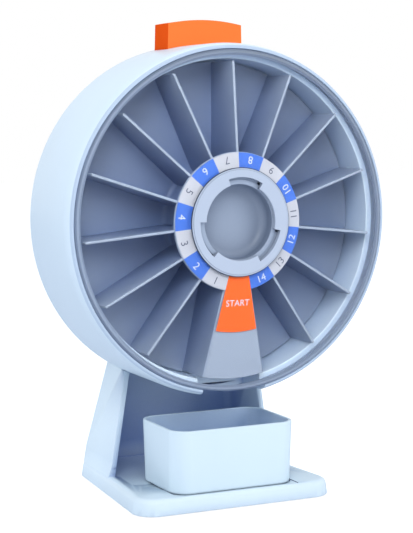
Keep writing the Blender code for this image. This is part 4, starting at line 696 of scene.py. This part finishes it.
closing = turned("start_sector", filleted([
    (inner, cone_front(inner, -START_TOP), 0.0),
    (outer - BITE, cone_front(outer, -START_TOP), 0.5 * MM),
    (outer - BITE, sunk + BITE, 0.0),
    (outer - START_WALL, sunk + BITE, 0.0),
    (outer - START_WALL, cone_front(outer - START_WALL, -START_UNDERSIDE), 0.0),
    (inner, cone_front(inner, -START_UNDERSIDE), 0.0),
]), INDEX_ANGLE, -INDEX_ANGLE / 2)
fitted("wheel", joined(wheel, *dividers, closing), WHEEL_GREY, "wheel", "wheel", "pocket_wheel")


# Number ring and START label: printed film on the wheel's sloping front. Even pockets have a blue field with
# white digits and odd ones a pale field with dark digits, numbered round from START, whose film is orange.
PRINT_PALE = moulded("print_pale", (0.49, 0.50, 0.54), 0.45, 0.05, 0.02, 0.1)
PRINT_BLUE = moulded("print_blue", (0.06, 0.165, 0.60), 0.42, 0.05, 0.02)
PRINT_WHITE = moulded("print_white", (0.60, 0.64, 0.72), 0.45, 0.02, 0.02, 0.1)
PRINT_GREY = moulded("print_grey", (0.11, 0.12, 0.17), 0.45, 0.02, 0.02, 0.1)
PRINT_ORANGE = moulded("print_orange", (0.95, 0.13, 0.014), 0.42, 0.05, 0.02)
LABEL_THICKNESS = 0.4 * MM
LABEL_LIFT = GAP + LABEL_THICKNESS
LABEL_INNER = HUB_POCKET_RADIUS + GAP
LABEL_WIDTH = 7.3 * MM
START_REACH = 30.5 * MM
START_FILM_SHARE = 0.98
START_HEIGHT = 3.6 * MM
START_RADIUS = 45.0 * MM
DIGIT_HEIGHT = 4.3 * MM
DIGIT_RADIUS = CONE_INNER + LABEL_WIDTH / 2
CAPITAL_SHARE = 0.72
LETTER_STEPS = 4
INK = 0.02 * MM
INK_WELD = 0.001 * MM


def label(name, outer, start, sweep):
    """A thin film on the cone, flat where the lid is flat, that runs in under the lock ring."""
    front = cone_front(CONE_INNER, LABEL_LIFT)
    profile = [(LABEL_INNER, front), (CONE_INNER, front), (outer, cone_front(outer, LABEL_LIFT)),
               (outer, cone_front(outer, GAP)), (LABEL_INNER, cone_front(LABEL_INNER, GAP))]
    return turned(name, profile, sweep, start)


def lettering(name, characters, height, radius, angle):
    """Printed characters lying on the cone, their middle at a radius and an angle, their tops to the hub."""
    curve = bpy.data.curves.new(name, "FONT")
    curve.body = characters
    curve.align_x = "CENTER"
    curve.align_y = "CENTER"
    curve.size = height / CAPITAL_SHARE
    curve.resolution_u = LETTER_STEPS
    mesh = baked(linked(name, curve))
    top = max(v.co.y for v in mesh.vertices)
    low = min(v.co.y for v in mesh.vertices)
    out = Vector((*polar(1.0, angle), 0.0))
    along = Vector((-out.y, out.x, 0.0))
    for v in mesh.vertices:
        reach = radius - (v.co.y - (top + low) / 2)
        spot = out * reach + along * v.co.x
        depth = cone_front(hypot(spot.x, spot.y), LABEL_LIFT + INK)
        v.co = DRUM_CENTRE + Vector((spot.x, depth, spot.y))
    return mesh


def merged(name, meshes):
    """Several meshes as one."""
    bm = bmesh.new()
    for mesh in meshes:
        bm.from_mesh(mesh)
    bmesh.ops.remove_doubles(bm, verts=bm.verts[:], dist=INK_WELD)
    return meshed(name, bm)


pale, blue, white_ink, grey_ink = [], [], [], []
for number in range(1, SECTOR_COUNT):
    fields, inks = (blue, white_ink) if number % 2 == 0 else (pale, grey_ink)
    fields.append(label("field", CONE_INNER + LABEL_WIDTH, INDEX_ANGLE * (number - 0.5), INDEX_ANGLE))
    inks.append(lettering("digits", str(number), DIGIT_HEIGHT, DIGIT_RADIUS, INDEX_ANGLE * number))
for name, meshes, finish, *nodes in (
    ("pale_fields", pale, PRINT_PALE, "number_ring"),
    ("blue_fields", blue, PRINT_BLUE),
    ("white_digits", white_ink, PRINT_WHITE),
    ("grey_digits", grey_ink, PRINT_GREY),
):
    fitted(name, merged(name, meshes), finish, "wheel", "label", *nodes)

film_angle = INDEX_ANGLE * START_FILM_SHARE
start_film = label("start_film", CONE_INNER + START_REACH, -film_angle / 2, film_angle)
start_word = lettering("start_word", "START", START_HEIGHT, START_RADIUS, 0.0)
fitted("start_film", start_film, PRINT_ORANGE, "wheel", "start", "start_label")
fitted("start_word", start_word, PRINT_WHITE, "wheel", "start")


# Clear lid: a shallow cone moulded in clear plastic, with a raised bead round its rim and a skirt behind the
# bead that stands on the shell's seat. Light passes it to the wheel, so that its shadow stays faint. The bead
# and its two edges are painted greyer than the face, a painted shade for the light that runs inside the
# plastic.
LID_THICKNESS = 1.3 * MM
LID_UNDERSIDE = WHEEL_FRONT + LABEL_LIFT + GAP
LID_FRONT = LID_UNDERSIDE + LID_THICKNESS
LID_HOLE_RADIUS = 26.8 * MM
LID_RADIUS = SEAM_RADIUS - GAP
LID_SKIRT_WALL = 1.8 * MM
LID_BEAD_WIDTH = 2.2 * MM
LID_BEAD_HEIGHT = 0.7 * MM
LID_BEAD_CHAMFER = 1.0 * MM
BEAD_RADIUS = LID_RADIUS - LID_BEAD_WIDTH
TOE_RADIUS = BEAD_RADIUS - LID_BEAD_CHAMFER


def clear_plastic(name, tint, roughness, ior, clarity=1.0):
    """Clear plastic that lets the light of the lamps through."""
    finish = bpy.data.materials.new(name)
    finish.use_nodes = True
    nodes, links = finish.node_tree.nodes, finish.node_tree.links
    shader = nodes["Principled BSDF"]
    shader.inputs["Base Color"].default_value = (*tint, 1.0)
    shader.inputs["Roughness"].default_value = roughness
    shader.inputs["IOR"].default_value = ior
    shader.inputs["Transmission Weight"].default_value = clarity
    through = nodes.new("ShaderNodeBsdfTransparent")
    through.inputs["Color"].default_value = (*tint, 1.0)
    path = nodes.new("ShaderNodeLightPath")
    mix = nodes.new("ShaderNodeMixShader")
    links.new(path.outputs["Is Shadow Ray"], mix.inputs[0])
    links.new(shader.outputs[0], mix.inputs[1])
    links.new(through.outputs[0], mix.inputs[2])
    links.new(mix.outputs[0], nodes["Material Output"].inputs["Surface"])
    return finish


def lid_front(radius):
    """Depth of the lid's front face on its cone."""
    return CONE_SLOPE * (radius - CONE_INNER) - LID_FRONT


def lid_tone(face):
    """The clear face, the bead in painted grey, or the darkest painted shade at the bead's two edges."""
    reach = from_centre(face)[1]
    if reach > LID_RADIUS - LID_BEAD_CHAMFER or TOE_RADIUS < reach < BEAD_RADIUS:
        return 2
    return reach > TOE_RADIUS


CLEAR_FACE = clear_plastic("clear_face", (0.975, 0.985, 1.0), 0.0, 1.16)
# Painted shade: the bead and its edges are clear plastic tinted grey and dark grey-blue.
CLEAR_RIM_SHADE = clear_plastic("clear_rim_painted_shade", (0.54, 0.61, 0.71), 0.3, 1.2, 0.6)
CLEAR_EDGE_SHADE = clear_plastic("clear_edge_painted_shade", (0.33, 0.39, 0.50), 0.35, 1.3, 0.5)
crest = lid_front(BEAD_RADIUS) - LID_BEAD_HEIGHT
lid = turned("lid", filleted([
    (LID_HOLE_RADIUS, -LID_FRONT, 0.2 * MM),
    (CONE_INNER, -LID_FRONT, 3.0 * MM),
    (TOE_RADIUS, lid_front(TOE_RADIUS), 0.5 * MM),
    (BEAD_RADIUS, crest, 0.6 * MM),
    (LID_RADIUS - LID_BEAD_CHAMFER, crest, 0.6 * MM),
    (LID_RADIUS, crest + LID_BEAD_CHAMFER, 0.6 * MM),
    (LID_RADIUS, SHELF_DEPTH - GAP, 0.3 * MM),
    (LID_RADIUS - LID_SKIRT_WALL, SHELF_DEPTH - GAP, 0.3 * MM),
    (LID_RADIUS - LID_SKIRT_WALL, lid_front(BEAD_RADIUS) + LID_THICKNESS, 0.6 * MM),
    (TOE_RADIUS, lid_front(TOE_RADIUS) + LID_THICKNESS, 0.4 * MM),
    (CONE_INNER, -LID_UNDERSIDE, 2.0 * MM),
    (LID_HOLE_RADIUS, -LID_UNDERSIDE, 0.2 * MM),
], steps=3))
lid = toned(lid, (CLEAR_FACE, CLEAR_RIM_SHADE, CLEAR_EDGE_SHADE), lid_tone)
fitted("lid", lid, None, "lid", "clear", "clear_lid")


# Lock ring: a flange over the lid's inner edge with three finger notches, moulded in the grey-blue of the
# hub. Its skirt passes the lid and ends in three lugs that turn in behind the core's ears.
# Painted shade: its notches and other hollows are painted towards a near-black blue.
HUB_BLUE = moulded("hub_plastic", (0.50, 0.56, 0.66), 0.34, shade=(0.06, 0.08, 0.13))
# Painted shade: the flange's outer edge by the lid is near-black, for the shadow in the gap there.
RING_SEAM_SHADE = moulded("ring_seam_painted_shade", (0.06, 0.075, 0.11), 0.5)
RING_SEAM_SHADE_WIDTH = 0.45 * MM
RING_SEAM_SHADE_CLEAR = 0.1 * MM
RING_EDGE = 0.25 * MM
RING_RADIUS = 30.2 * MM
RING_HOLE_RADIUS = 21.1 * MM
RING_REAR = LID_FRONT + GAP
RING_FLANGE = 1.2 * MM
RING_FRONT = RING_REAR + RING_FLANGE
RING_BODY = 2.8 * MM
RING_STEP_WIDTH = 1.3 * MM
RING_STEP_HEIGHT = 0.4 * MM
RING_CHAMFER = 0.4 * MM
SKIRT_RADIUS = 26.3 * MM
SKIRT_WALL = 0.8 * MM
NOTCH_DEPTH = 3.8 * MM
NOTCH_ANGLE = 50.0
LUG_THICKNESS = 1.6 * MM
LUG_PITCH = 60.0
SOFT_ANGLE = 40.0
SOFT_SHARP_ANGLE = 50.0


def softened(mesh, width, segments=2):
    """The mesh with its sharp edges rounded."""
    piece = linked("soft", mesh)
    edge = piece.modifiers.new("edge", "BEVEL")
    edge.width = width
    edge.segments = segments
    edge.limit_method = "ANGLE"
    edge.angle_limit = radians(SOFT_ANGLE)
    edge.use_clamp_overlap = True
    piece.modifiers.new("even", "WEIGHTED_NORMAL").keep_sharp = True
    return smooth(baked(piece), SOFT_SHARP_ANGLE)


def ring_tone(face):
    """Painted shade: the dark seam on the edge of the flange, next to the lid."""
    spot, reach = from_centre(face)
    return spot.y < -RING_REAR - RING_SEAM_SHADE_CLEAR and reach > RING_RADIUS - RING_SEAM_SHADE_WIDTH


bayonet = -CORE_FRONT + EAR_THICKNESS + GAP
lug_rear = bayonet + LUG_THICKNESS
step_radius, step_front = RING_RADIUS - RING_STEP_WIDTH, -RING_FRONT + RING_STEP_HEIGHT
ring = turned("ring", filleted([
    (RING_HOLE_RADIUS, -RING_FRONT, 0.5 * MM),
    (step_radius, -RING_FRONT, 0.2 * MM),
    (step_radius, step_front, 0.1 * MM),
    (RING_RADIUS - RING_CHAMFER, step_front, 0.2 * MM),
    (RING_RADIUS, step_front + RING_CHAMFER, 0.2 * MM),
    (RING_RADIUS, -RING_REAR, 0.1 * MM),
    (SKIRT_RADIUS, -RING_REAR, 0.0),
    (SKIRT_RADIUS, lug_rear, 0.2 * MM),
    (SKIRT_RADIUS - SKIRT_WALL, lug_rear, 0.2 * MM),
    (SKIRT_RADIUS - SKIRT_WALL, -RING_FRONT + RING_BODY, 0.2 * MM),
    (RING_HOLE_RADIUS, -RING_FRONT + RING_BODY, 0.4 * MM),
], steps=3))
lugs, notches = [], []
for middle in NOTCH_MIDDLES:
    lugs.append(band("lug", CORE_RADIUS + GAP, SKIRT_RADIUS - SKIRT_WALL / 2, bayonet, lug_rear - BITE,
                     EAR_ANGLE, middle + LUG_PITCH - EAR_ANGLE / 2))
    notches.append(band("notch", RING_HOLE_RADIUS - OVERRUN, RING_HOLE_RADIUS + NOTCH_DEPTH,
                        -RING_FRONT - OVERRUN, -RING_FRONT + RING_BODY + OVERRUN,
                        NOTCH_ANGLE, middle - NOTCH_ANGLE / 2))
ring = softened(cut(joined(ring, *lugs), *notches), RING_EDGE)
fitted("ring", toned(ring, (HUB_BLUE, RING_SEAM_SHADE), ring_tone), None, "lock_ring", "shell", "lock_ring")


# Button: an orange cap that follows the drum's curve, moulded hollow. It slides in the slot on top of the
# shell, kept in by a flange under the wall. Its left end is painted a deeper orange, as painted shade.
ORANGE = moulded("orange_plastic", (1.0, 0.21, 0.045), 0.36, 0.08, shine=0.0)
ORANGE_SHADED_FLANK = moulded("orange_flank_painted_shade", (0.84, 0.095, 0.01), 0.36, 0.08, shine=0.0)
BUTTON_HALF = 23.0 * MM
BUTTON_DRAFT = 0.5 * MM
BUTTON_RADIUS = 112.5 * MM
BUTTON_DEPTH = 18.2 * MM
BUTTON_FRONT = 37.5 * MM
BUTTON_WALL = 2.4 * MM
BUTTON_ROUND = 1.1 * MM
BUTTON_SUNK = 1.0 * MM
BUTTON_BORE = 8.0 * MM
TOP_STEPS = 24
SHADED_FLANK_NORMAL = -0.7
STOP_EDGE = 0.4 * MM
STOP_REACH = 3.6 * MM
STOP_THICKNESS = 3.0 * MM
BUTTON_FOOT = BUTTON_HALF + BUTTON_DRAFT
stop_top = sqrt((SHELL_BORE - GAP) ** 2 - (BUTTON_FOOT + STOP_REACH) ** 2) - GAP
side_top = sqrt(BUTTON_RADIUS**2 - BUTTON_HALF**2)
half_turn = degrees(acos(side_top / BUTTON_RADIUS))
top = arc(BUTTON_RADIUS, 180.0 + half_turn, 180.0 - half_turn, TOP_STEPS)
outline = [(BUTTON_FOOT, stop_top - BUTTON_SUNK), *top, (-BUTTON_FOOT, stop_top - BUTTON_SUNK)]
cap = softened(plate("cap", outline, BUTTON_FRONT, BUTTON_FRONT + BUTTON_DEPTH), BUTTON_ROUND, segments=4)
flange = block("flange", (-BUTTON_FOOT - STOP_REACH, BUTTON_FRONT, stop_top - STOP_THICKNESS),
               (BUTTON_FOOT + STOP_REACH, BUTTON_FRONT + BUTTON_DEPTH, stop_top), STOP_EDGE)
hollow = block("hollow", (BUTTON_WALL - BUTTON_HALF, BUTTON_FRONT + BUTTON_WALL, stop_top - BUTTON_BORE),
               (BUTTON_HALF - BUTTON_WALL, BUTTON_FRONT + BUTTON_DEPTH - BUTTON_WALL, side_top - BUTTON_WALL))
cap = cut(joined(cap, flange), hollow)
# Painted shade: faces turned to the left take the darker orange.
toned(cap, (ORANGE, ORANGE_SHADED_FLANK), lambda face: face.normal.x < SHADED_FLANK_NORMAL)
fitted("button", cap, None, "button", "button", "button_cap")


# Stand: base plate, cup tray and hollow tower in one moulding. The tower leans back to the drum's rear, is
# open to the front under the drum, and is screwed to the back cover.
# Painted shade: the tower's inside and other hollows are painted a deep blue.
STAND_BLUE = moulded("stand_plastic", (0.73, 0.84, 0.895), shade=(0.13, 0.25, 0.72))
# Painted shadow: near-black for the gap between the cup and the tray's lip.
TRAY_GAP_SHADE = moulded("tray_gap_painted_shade", (0.05, 0.065, 0.11), 0.5)
STAND_EDGE = 0.35 * MM
BASE_LOW, BASE_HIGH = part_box("stand")
PAD_PROUD = 0.8 * MM
BASE_THICKNESS = 9.3 * MM
BASE_HALF_FRONT = 61.2 * MM
BASE_HALF_REAR = 53.6 * MM
BASE_FRONT_CORNER = 13.0 * MM
BASE_REAR_CORNER = 14.0 * MM
BASE_DRAFT = 0.8 * MM
BASE_EDGE_ROUND = 3.5 * MM
BASE_FOOT_CHAMFER = 0.5 * MM
BASE_EDGE_STEPS = 8
CORNER_STEPS = 16
UNDER_INSET = 24.0 * MM
UNDER_RIB = 2.6 * MM
UNDER_CORNER = 2.6 * MM
UNDER_FLOOR = 2.6 * MM
TRAY_DEPTH = 1.2 * MM
TRAY_PLAY = 0.5 * MM
TRAY_LIP_HEIGHT = 0.5 * MM
TRAY_HALF_REAR = 49.3 * MM
TRAY_NECK = 13.7 * MM
TRAY_FLARE = 24.0 * MM
TRAY_FLARE_STEPS = 12
TRAY_GAP_SHADE_REACH = 0.2 * MM
UPRIGHT_NORMAL = 0.5
TOWER_FRONT = 54.5 * MM
TOWER_TOE = 0.015
TOWER_CORNER = 7.0 * MM
TOWER_WALL = 3.0 * MM
TOWER_FOOT_INSET = 0.3 * MM
TOWER_REAR_INSET = 0.4 * MM
TOWER_TOP_THICKNESS = 4.1 * MM
TOWER_LOW_HALF = 51.4 * MM
TOWER_TOP_HALF = 30.8 * MM
TOWER_LOW = 20.0 * MM
TOWER_TOP = AXIS.z - 8.0 * MM
TOWER_FLARE_POWER = 1.7
TOWER_FLARE_STEPS = 10
HEAD_BLOCK = 26.0 * MM
HEAD_BORE = 8.0 * MM
SOCKET_RADIUS = 6.3 * MM
SOCKET_DEPTH = 2.1 * MM
DISC_STEPS = 48
CUP_HALF_RIM = 38.7 * MM
CUP_DRAFT = 1.0 * MM
CUP_CORNER = 10.5 * MM
BASE_TOP = PAD_PROUD + BASE_THICKNESS
TRAY_LEVEL = BASE_TOP - TRAY_DEPTH
SEAM_Y = DRUM_CENTRE.y
CUP_LOW, CUP_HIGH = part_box("cup")
TRAY_HALF_FRONT = CUP_HALF_RIM - CUP_DRAFT + TRAY_PLAY


def mirrored(right):
    """A closed outline from its right half."""
    return right + [(-x, y) for x, y in reversed(right)]


def rounded_outline(half_front, half_rear, front, rear, corner_front, corner_rear):
    """A level outline, symmetric about x = 0, with round corners."""
    return mirrored([
        *bend(half_front - corner_front, front + corner_front, corner_front, -90.0, 0.0, CORNER_STEPS),
        *bend(half_rear - corner_rear, rear - corner_rear, corner_rear, 0.0, 90.0, CORNER_STEPS),
    ])


def slab(name, outline, low, high):
    """A flat piece lying level between two heights."""
    return extruded(name, (outline,), high - low, Matrix.Translation((0.0, 0.0, (low + high) / 2)))


def disc(name, radius, low, high, x, y, edge=0.0):
    """An upright cylinder between two heights."""
    turns = [2 * pi * i / DISC_STEPS for i in range(DISC_STEPS)]
    ring = [(radius * cos(t), radius * sin(t)) for t in turns]
    return extruded(name, (ring,), high - low, Matrix.Translation((x, y, (low + high) / 2)), edge)


def lofted(name, rings):
    """A closed solid through level rings of equal point counts, from the lowest up."""
    bm = bmesh.new()
    loops = [[bm.verts.new(p) for p in ring] for ring in rings]
    for low, high in zip(loops, loops[1:]):
        for i in range(len(low)):
            j = (i + 1) % len(low)
            bm.faces.new((low[i], low[j], high[j], high[i]))
    bm.faces.new(loops[0][::-1])
    bm.faces.new(loops[-1])
    return smooth(meshed(name, bm))


def tower_rear(z):
    """Depth of the tower's leaning rear face at a height."""
    foot = BASE_HIGH.y - TOWER_REAR_INSET
    lean = (foot - SEAM_Y - DRUM_DEPTH - TOWER_TOP_THICKNESS) / (TOWER_TOP - PAD_PROUD)
    return foot - lean * (z - PAD_PROUD)


def tower_half(z):
    """Half the tower's width at a height, along the straight part of its sides."""
    share = (z - TOWER_LOW) / (TOWER_TOP - TOWER_LOW)
    return TOWER_LOW_HALF + (TOWER_TOP_HALF - TOWER_LOW_HALF) * share


def tower_ring(z, half, wall=0.0, front=None, toe=TOWER_TOE, corner=TOWER_CORNER, behind=0.0):
    """Outline of the tower at a height, set in by a wall, its sides closing towards the rear."""
    front = SEAM_Y + TOWER_FRONT if front is None else front
    rear = tower_rear(z) - wall + behind
    side = half - wall
    closed = side - toe * (rear - SEAM_Y - TOWER_FRONT)
    opened = side + toe * (SEAM_Y + TOWER_FRONT - front)
    corner = min(corner - wall / 2, (rear - SEAM_Y - TOWER_FRONT) / 2)
    right = [(opened, front), *bend(closed - corner, rear - corner, corner, 0.0, 90.0, CORNER_STEPS)]
    return [(x, y, z) for x, y in mirrored(right)]


def base_ring(z, inset):
    """Outline of the base at a height, set in all round."""
    outline = rounded_outline(BASE_HALF_FRONT - inset, BASE_HALF_REAR - inset, BASE_LOW.y + inset,
                              BASE_HIGH.y - inset, BASE_FRONT_CORNER - inset, BASE_REAR_CORNER - inset)
    return [(x, y, z) for x, y in outline]


def stand_tone(face):
    """Painted shadow: the near-black on the wall behind the tray's lip, which shows as a dark gap under the
    cup.
    """
    spot = face.center
    upright = abs(face.normal.z) < UPRIGHT_NORMAL and TRAY_LEVEL < spot.z < BASE_TOP
    in_front = base_front + BASE_EDGE_ROUND < spot.y < tray_front + CUP_CORNER
    return upright and in_front and abs(spot.x) < TRAY_HALF_FRONT + TRAY_GAP_SHADE_REACH


base_front, base_rear = BASE_LOW.y, BASE_HIGH.y
layers = [base_ring(PAD_PROUD, BASE_FOOT_CHAMFER), base_ring(PAD_PROUD + BASE_FOOT_CHAMFER, 0.0)]
for out, up in bend(0.0, 0.0, BASE_EDGE_ROUND, 0.0, 90.0, BASE_EDGE_STEPS):
    layers.append(base_ring(BASE_TOP - BASE_EDGE_ROUND + up, BASE_DRAFT + BASE_EDGE_ROUND - out))
base = lofted("base", layers)
sunk, edge = PAD_PROUD + BASE_EDGE_ROUND, BASE_TOP - BASE_EDGE_ROUND
inset = BASE_DRAFT + TOWER_FOOT_INSET
base_toe = (BASE_HALF_FRONT - BASE_HALF_REAR) / (base_rear - base_front)
foot = BASE_HALF_FRONT - base_toe * (SEAM_Y + TOWER_FRONT - base_front) - inset
shares = [i / TOWER_FLARE_STEPS for i in range(TOWER_FLARE_STEPS + 1)]
outs = (1.0, *((1 - share) ** TOWER_FLARE_POWER for share in shares))
levels = (sunk, *(edge + (TOWER_LOW - edge) * share for share in shares))
sections = []
for z, out in zip(levels, outs):
    sections.append(tower_ring(z, TOWER_LOW_HALF + (foot - TOWER_LOW_HALF) * out,
                               toe=TOWER_TOE + (base_toe - TOWER_TOE) * out,
                               corner=TOWER_CORNER + (BASE_REAR_CORNER - TOWER_CORNER) * out,
                               behind=(base_rear - inset - tower_rear(z)) * out))
tower = lofted("tower", [*sections, tower_ring(TOWER_TOP, TOWER_TOP_HALF)])
mouth = SEAM_Y + TOWER_FRONT - OVERRUN
cavity = lofted("cavity", [tower_ring(z, tower_half(z), TOWER_WALL, mouth)
                           for z in (BASE_TOP - TRAY_DEPTH / 2, TOWER_LOW, TOWER_TOP - HEAD_BLOCK)])
drum_space = band("drum_space", 0.0, DRUM_RADIUS + GAP, 0.0, DRUM_DEPTH + GAP)
tray_front = CUP_LOW.y + CUP_DRAFT - TRAY_PLAY
tray_rear = tower_rear(TRAY_LEVEL) - 2 * TOWER_WALL
flare = []
for i in range(TRAY_FLARE_STEPS + 1):
    share = i / TRAY_FLARE_STEPS
    ease = share * share * (3 - 2 * share)
    flare.append((TRAY_HALF_FRONT + (TRAY_HALF_REAR - TRAY_HALF_FRONT) * ease,
                  tray_front + TRAY_NECK + TRAY_FLARE * share))
closed = TRAY_HALF_REAR - base_toe * (tray_rear - tray_front - TRAY_NECK - TRAY_FLARE)
corner = bend(TRAY_HALF_FRONT - CUP_CORNER, tray_front + CUP_CORNER, CUP_CORNER, -90.0, 0.0, CORNER_STEPS)
tray = slab("tray", mirrored([*corner, *flare, (closed, tray_rear)]), TRAY_LEVEL, BASE_TOP + OVERRUN)
low = Vector((-TRAY_HALF_FRONT, base_front - OVERRUN, TRAY_LEVEL + GAP + TRAY_LIP_HEIGHT))
high = Vector((TRAY_HALF_FRONT, tray_front + CUP_CORNER, BASE_TOP + OVERRUN))
lip = block("lip", low - DRUM_CENTRE, high - DRUM_CENTRE)
middle = (base_front + base_rear) / 2
half = BASE_HALF_REAR - UNDER_INSET
hollows = []
for near, far in ((base_front + BASE_FRONT_CORNER, middle - UNDER_RIB / 2),
                  (middle + UNDER_RIB / 2, base_rear - BASE_FRONT_CORNER)):
    outline = rounded_outline(half, half, near, far, UNDER_CORNER, UNDER_CORNER)
    hollows.append(slab("hollow", outline, -OVERRUN, TRAY_LEVEL - UNDER_FLOOR))
sockets, pad_spots = [], []
for i in range(1, 5):
    low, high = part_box(f"foot_pad_{i}")
    x, y = ((low + high) / 2)[:2]
    pad_spots.append((x, y))
    sockets.append(disc("socket", SOCKET_RADIUS, -OVERRUN, SOCKET_DEPTH, x, y))
holes = []
for node in ("stand_screw_1", "stand_screw_2"):
    x, z, seat = screw_spot(node)
    rear = tower_rear(AXIS.z + z) - SEAM_Y + OVERRUN
    holes.append(rod("hole", SCREW_SHANK + GAP, seat - SCREW_BORE, seat + HEAD_BORE, x, z, BORE_STEPS))
    holes.append(rod("head", SCREW_HEAD + GAP, seat - GAP, rear, x, z))
stand = cut(joined(base, tower), cavity, drum_space, tray, lip, *hollows, *sockets, *holes)
stand = toned(softened(stand, STAND_EDGE), (STAND_BLUE, TRAY_GAP_SHADE), stand_tone)
fitted("stand", stand, None, "frame", "shell", "stand")


# Foot pads: dark rubber discs with a rounded edge, pressed into sockets under the base, so that the stand
# doesn't slide on a desk.
PAD_RUBBER = moulded("pad_rubber", (0.05, 0.05, 0.055), 0.8, 0.2, 0.2)
PAD_RADIUS = 6.0 * MM
PAD_THICKNESS = 1.8 * MM
PAD_EDGE = 0.3 * MM
for i, (x, y) in enumerate(pad_spots, 1):
    pad = disc("pad", PAD_RADIUS, 0.0, PAD_THICKNESS, x, y, PAD_EDGE)
    fitted(f"pad_{i}", pad, PAD_RUBBER, "frame", "pad", f"foot_pad_{i}")


# Catch cup: a thin open box with round corners and a little draft, in a paler, glossier plastic. It stands in
# the tray under the outlet.
CUP_BLUE = moulded("cup_plastic", (0.70, 0.82, 0.88), 0.34)
CUP_WALL = 1.8 * MM
CUP_FOOT_ROUND = 1.8 * MM
CUP_RIM_ROUND = 0.6 * MM
CUP_FLOOR_ROUND = 2.6 * MM


def cup_ring(z, inset):
    """The cup's outline at a height, set in from its rim."""
    corner, half = CUP_CORNER - inset / 2, CUP_HALF_RIM - inset
    outline = rounded_outline(half, half, CUP_LOW.y + inset, CUP_HIGH.y - inset, corner, corner)
    return [(x, y, z) for x, y in outline]


def draft_at(z):
    """How far the cup's wall has come in from its rim at a height."""
    return CUP_DRAFT * (CUP_HIGH.z - z) / (CUP_HIGH.z - CUP_LOW.z)


quarter, rim_quarter = (0.0, 0.4, 0.8, 1.2, pi / 2), (0.0, 0.5, 1.0, pi / 2)
floor = CUP_LOW.z + CUP_WALL
rings = [cup_ring(CUP_LOW.z + (1 - cos(t)) * CUP_FOOT_ROUND,
                  draft_at(CUP_LOW.z) + (1 - sin(t)) * CUP_FOOT_ROUND) for t in quarter]
rings += [cup_ring(CUP_HIGH.z - (1 - sin(t)) * CUP_RIM_ROUND, (1 - cos(t)) * CUP_RIM_ROUND)
          for t in rim_quarter]
rings += [cup_ring(CUP_HIGH.z - (1 - sin(t)) * CUP_RIM_ROUND, CUP_WALL - (1 - cos(t)) * CUP_RIM_ROUND)
          for t in reversed(rim_quarter)]
rings += [cup_ring(floor + (1 - sin(t)) * CUP_FLOOR_ROUND,
                   draft_at(floor) + CUP_WALL + (1 - cos(t)) * CUP_FLOOR_ROUND) for t in quarter]
fitted("catch_cup", lofted("catch_cup", rings), CUP_BLUE, "cup", "cup", "cup")


# Screws: zinc-plated pan heads with a plain slot. All are driven from behind: four hold the back cover,
# three the hub core and two the stand.
SCREW_LENGTH = 8.0 * MM
HEAD_RIM = 0.45
SLIT_HALF_LENGTH = 4.0 * MM
SLIT_HALF_WIDTH = 0.45 * MM
SLIT_DEPTH = 0.6 * MM


def metal(name, colour, roughness):
    """Bare or plated metal with faint drift."""
    finish = moulded(name, colour, roughness, drift=0.18, grain=0.03)
    finish.node_tree.nodes["Principled BSDF"].inputs["Metallic"].default_value = 1.0
    return finish


ZINC = metal("zinc_steel", (0.62, 0.63, 0.66), 0.32)
for node in SCREWS:
    x, z, seat = screw_spot(node)
    profile = [(0.0, seat - SCREW_LENGTH), (SCREW_SHANK, seat - SCREW_LENGTH), (SCREW_SHANK, seat),
               (SCREW_HEAD, seat)]
    profile += [(SCREW_HEAD * sin(t), seat + SCREW_HEAD_THICKNESS * (HEAD_RIM + (1 - HEAD_RIM) * cos(t)))
                for t in (pi / 2, 1.2, 0.9, 0.6, 0.3)]
    profile.append((0.0, seat + SCREW_HEAD_THICKNESS))
    screw = turned("screw", profile, segments=32)
    screw.transform(Matrix.Translation((x, 0.0, z)))
    top = seat + SCREW_HEAD_THICKNESS
    slit = block("slit", (x - SLIT_HALF_LENGTH, top - SLIT_DEPTH, z - SLIT_HALF_WIDTH),
                 (x + SLIT_HALF_LENGTH, top + OVERRUN, z + SLIT_HALF_WIDTH))
    fitted(f"{node}_fine", cut(screw, slit), ZINC, "frame", "screw_steel", node)


# Drive train, behind the partition: rack, gear, pawl, detent and ratchet in natural acetal, with a clip and
# a return spring in spring steel. Their solids are fine enough and take their finishes here.
ACETAL = moulded("acetal", (0.80, 0.80, 0.77), 0.4)
SPRING_STEEL = metal("spring_steel", (0.58, 0.58, 0.60), 0.28)
for finish, nodes in (
    (ACETAL, ("plunger_rack", "driver_gear", "drive_pawl", "detent_spring", "ratchet_ring")),
    (SPRING_STEEL, ("wheel_clip", "return_spring")),
):
    for node in nodes:
        solid = frame["nodes"][node]
        solid.data.materials.clear()
        solid.data.materials.append(finish)
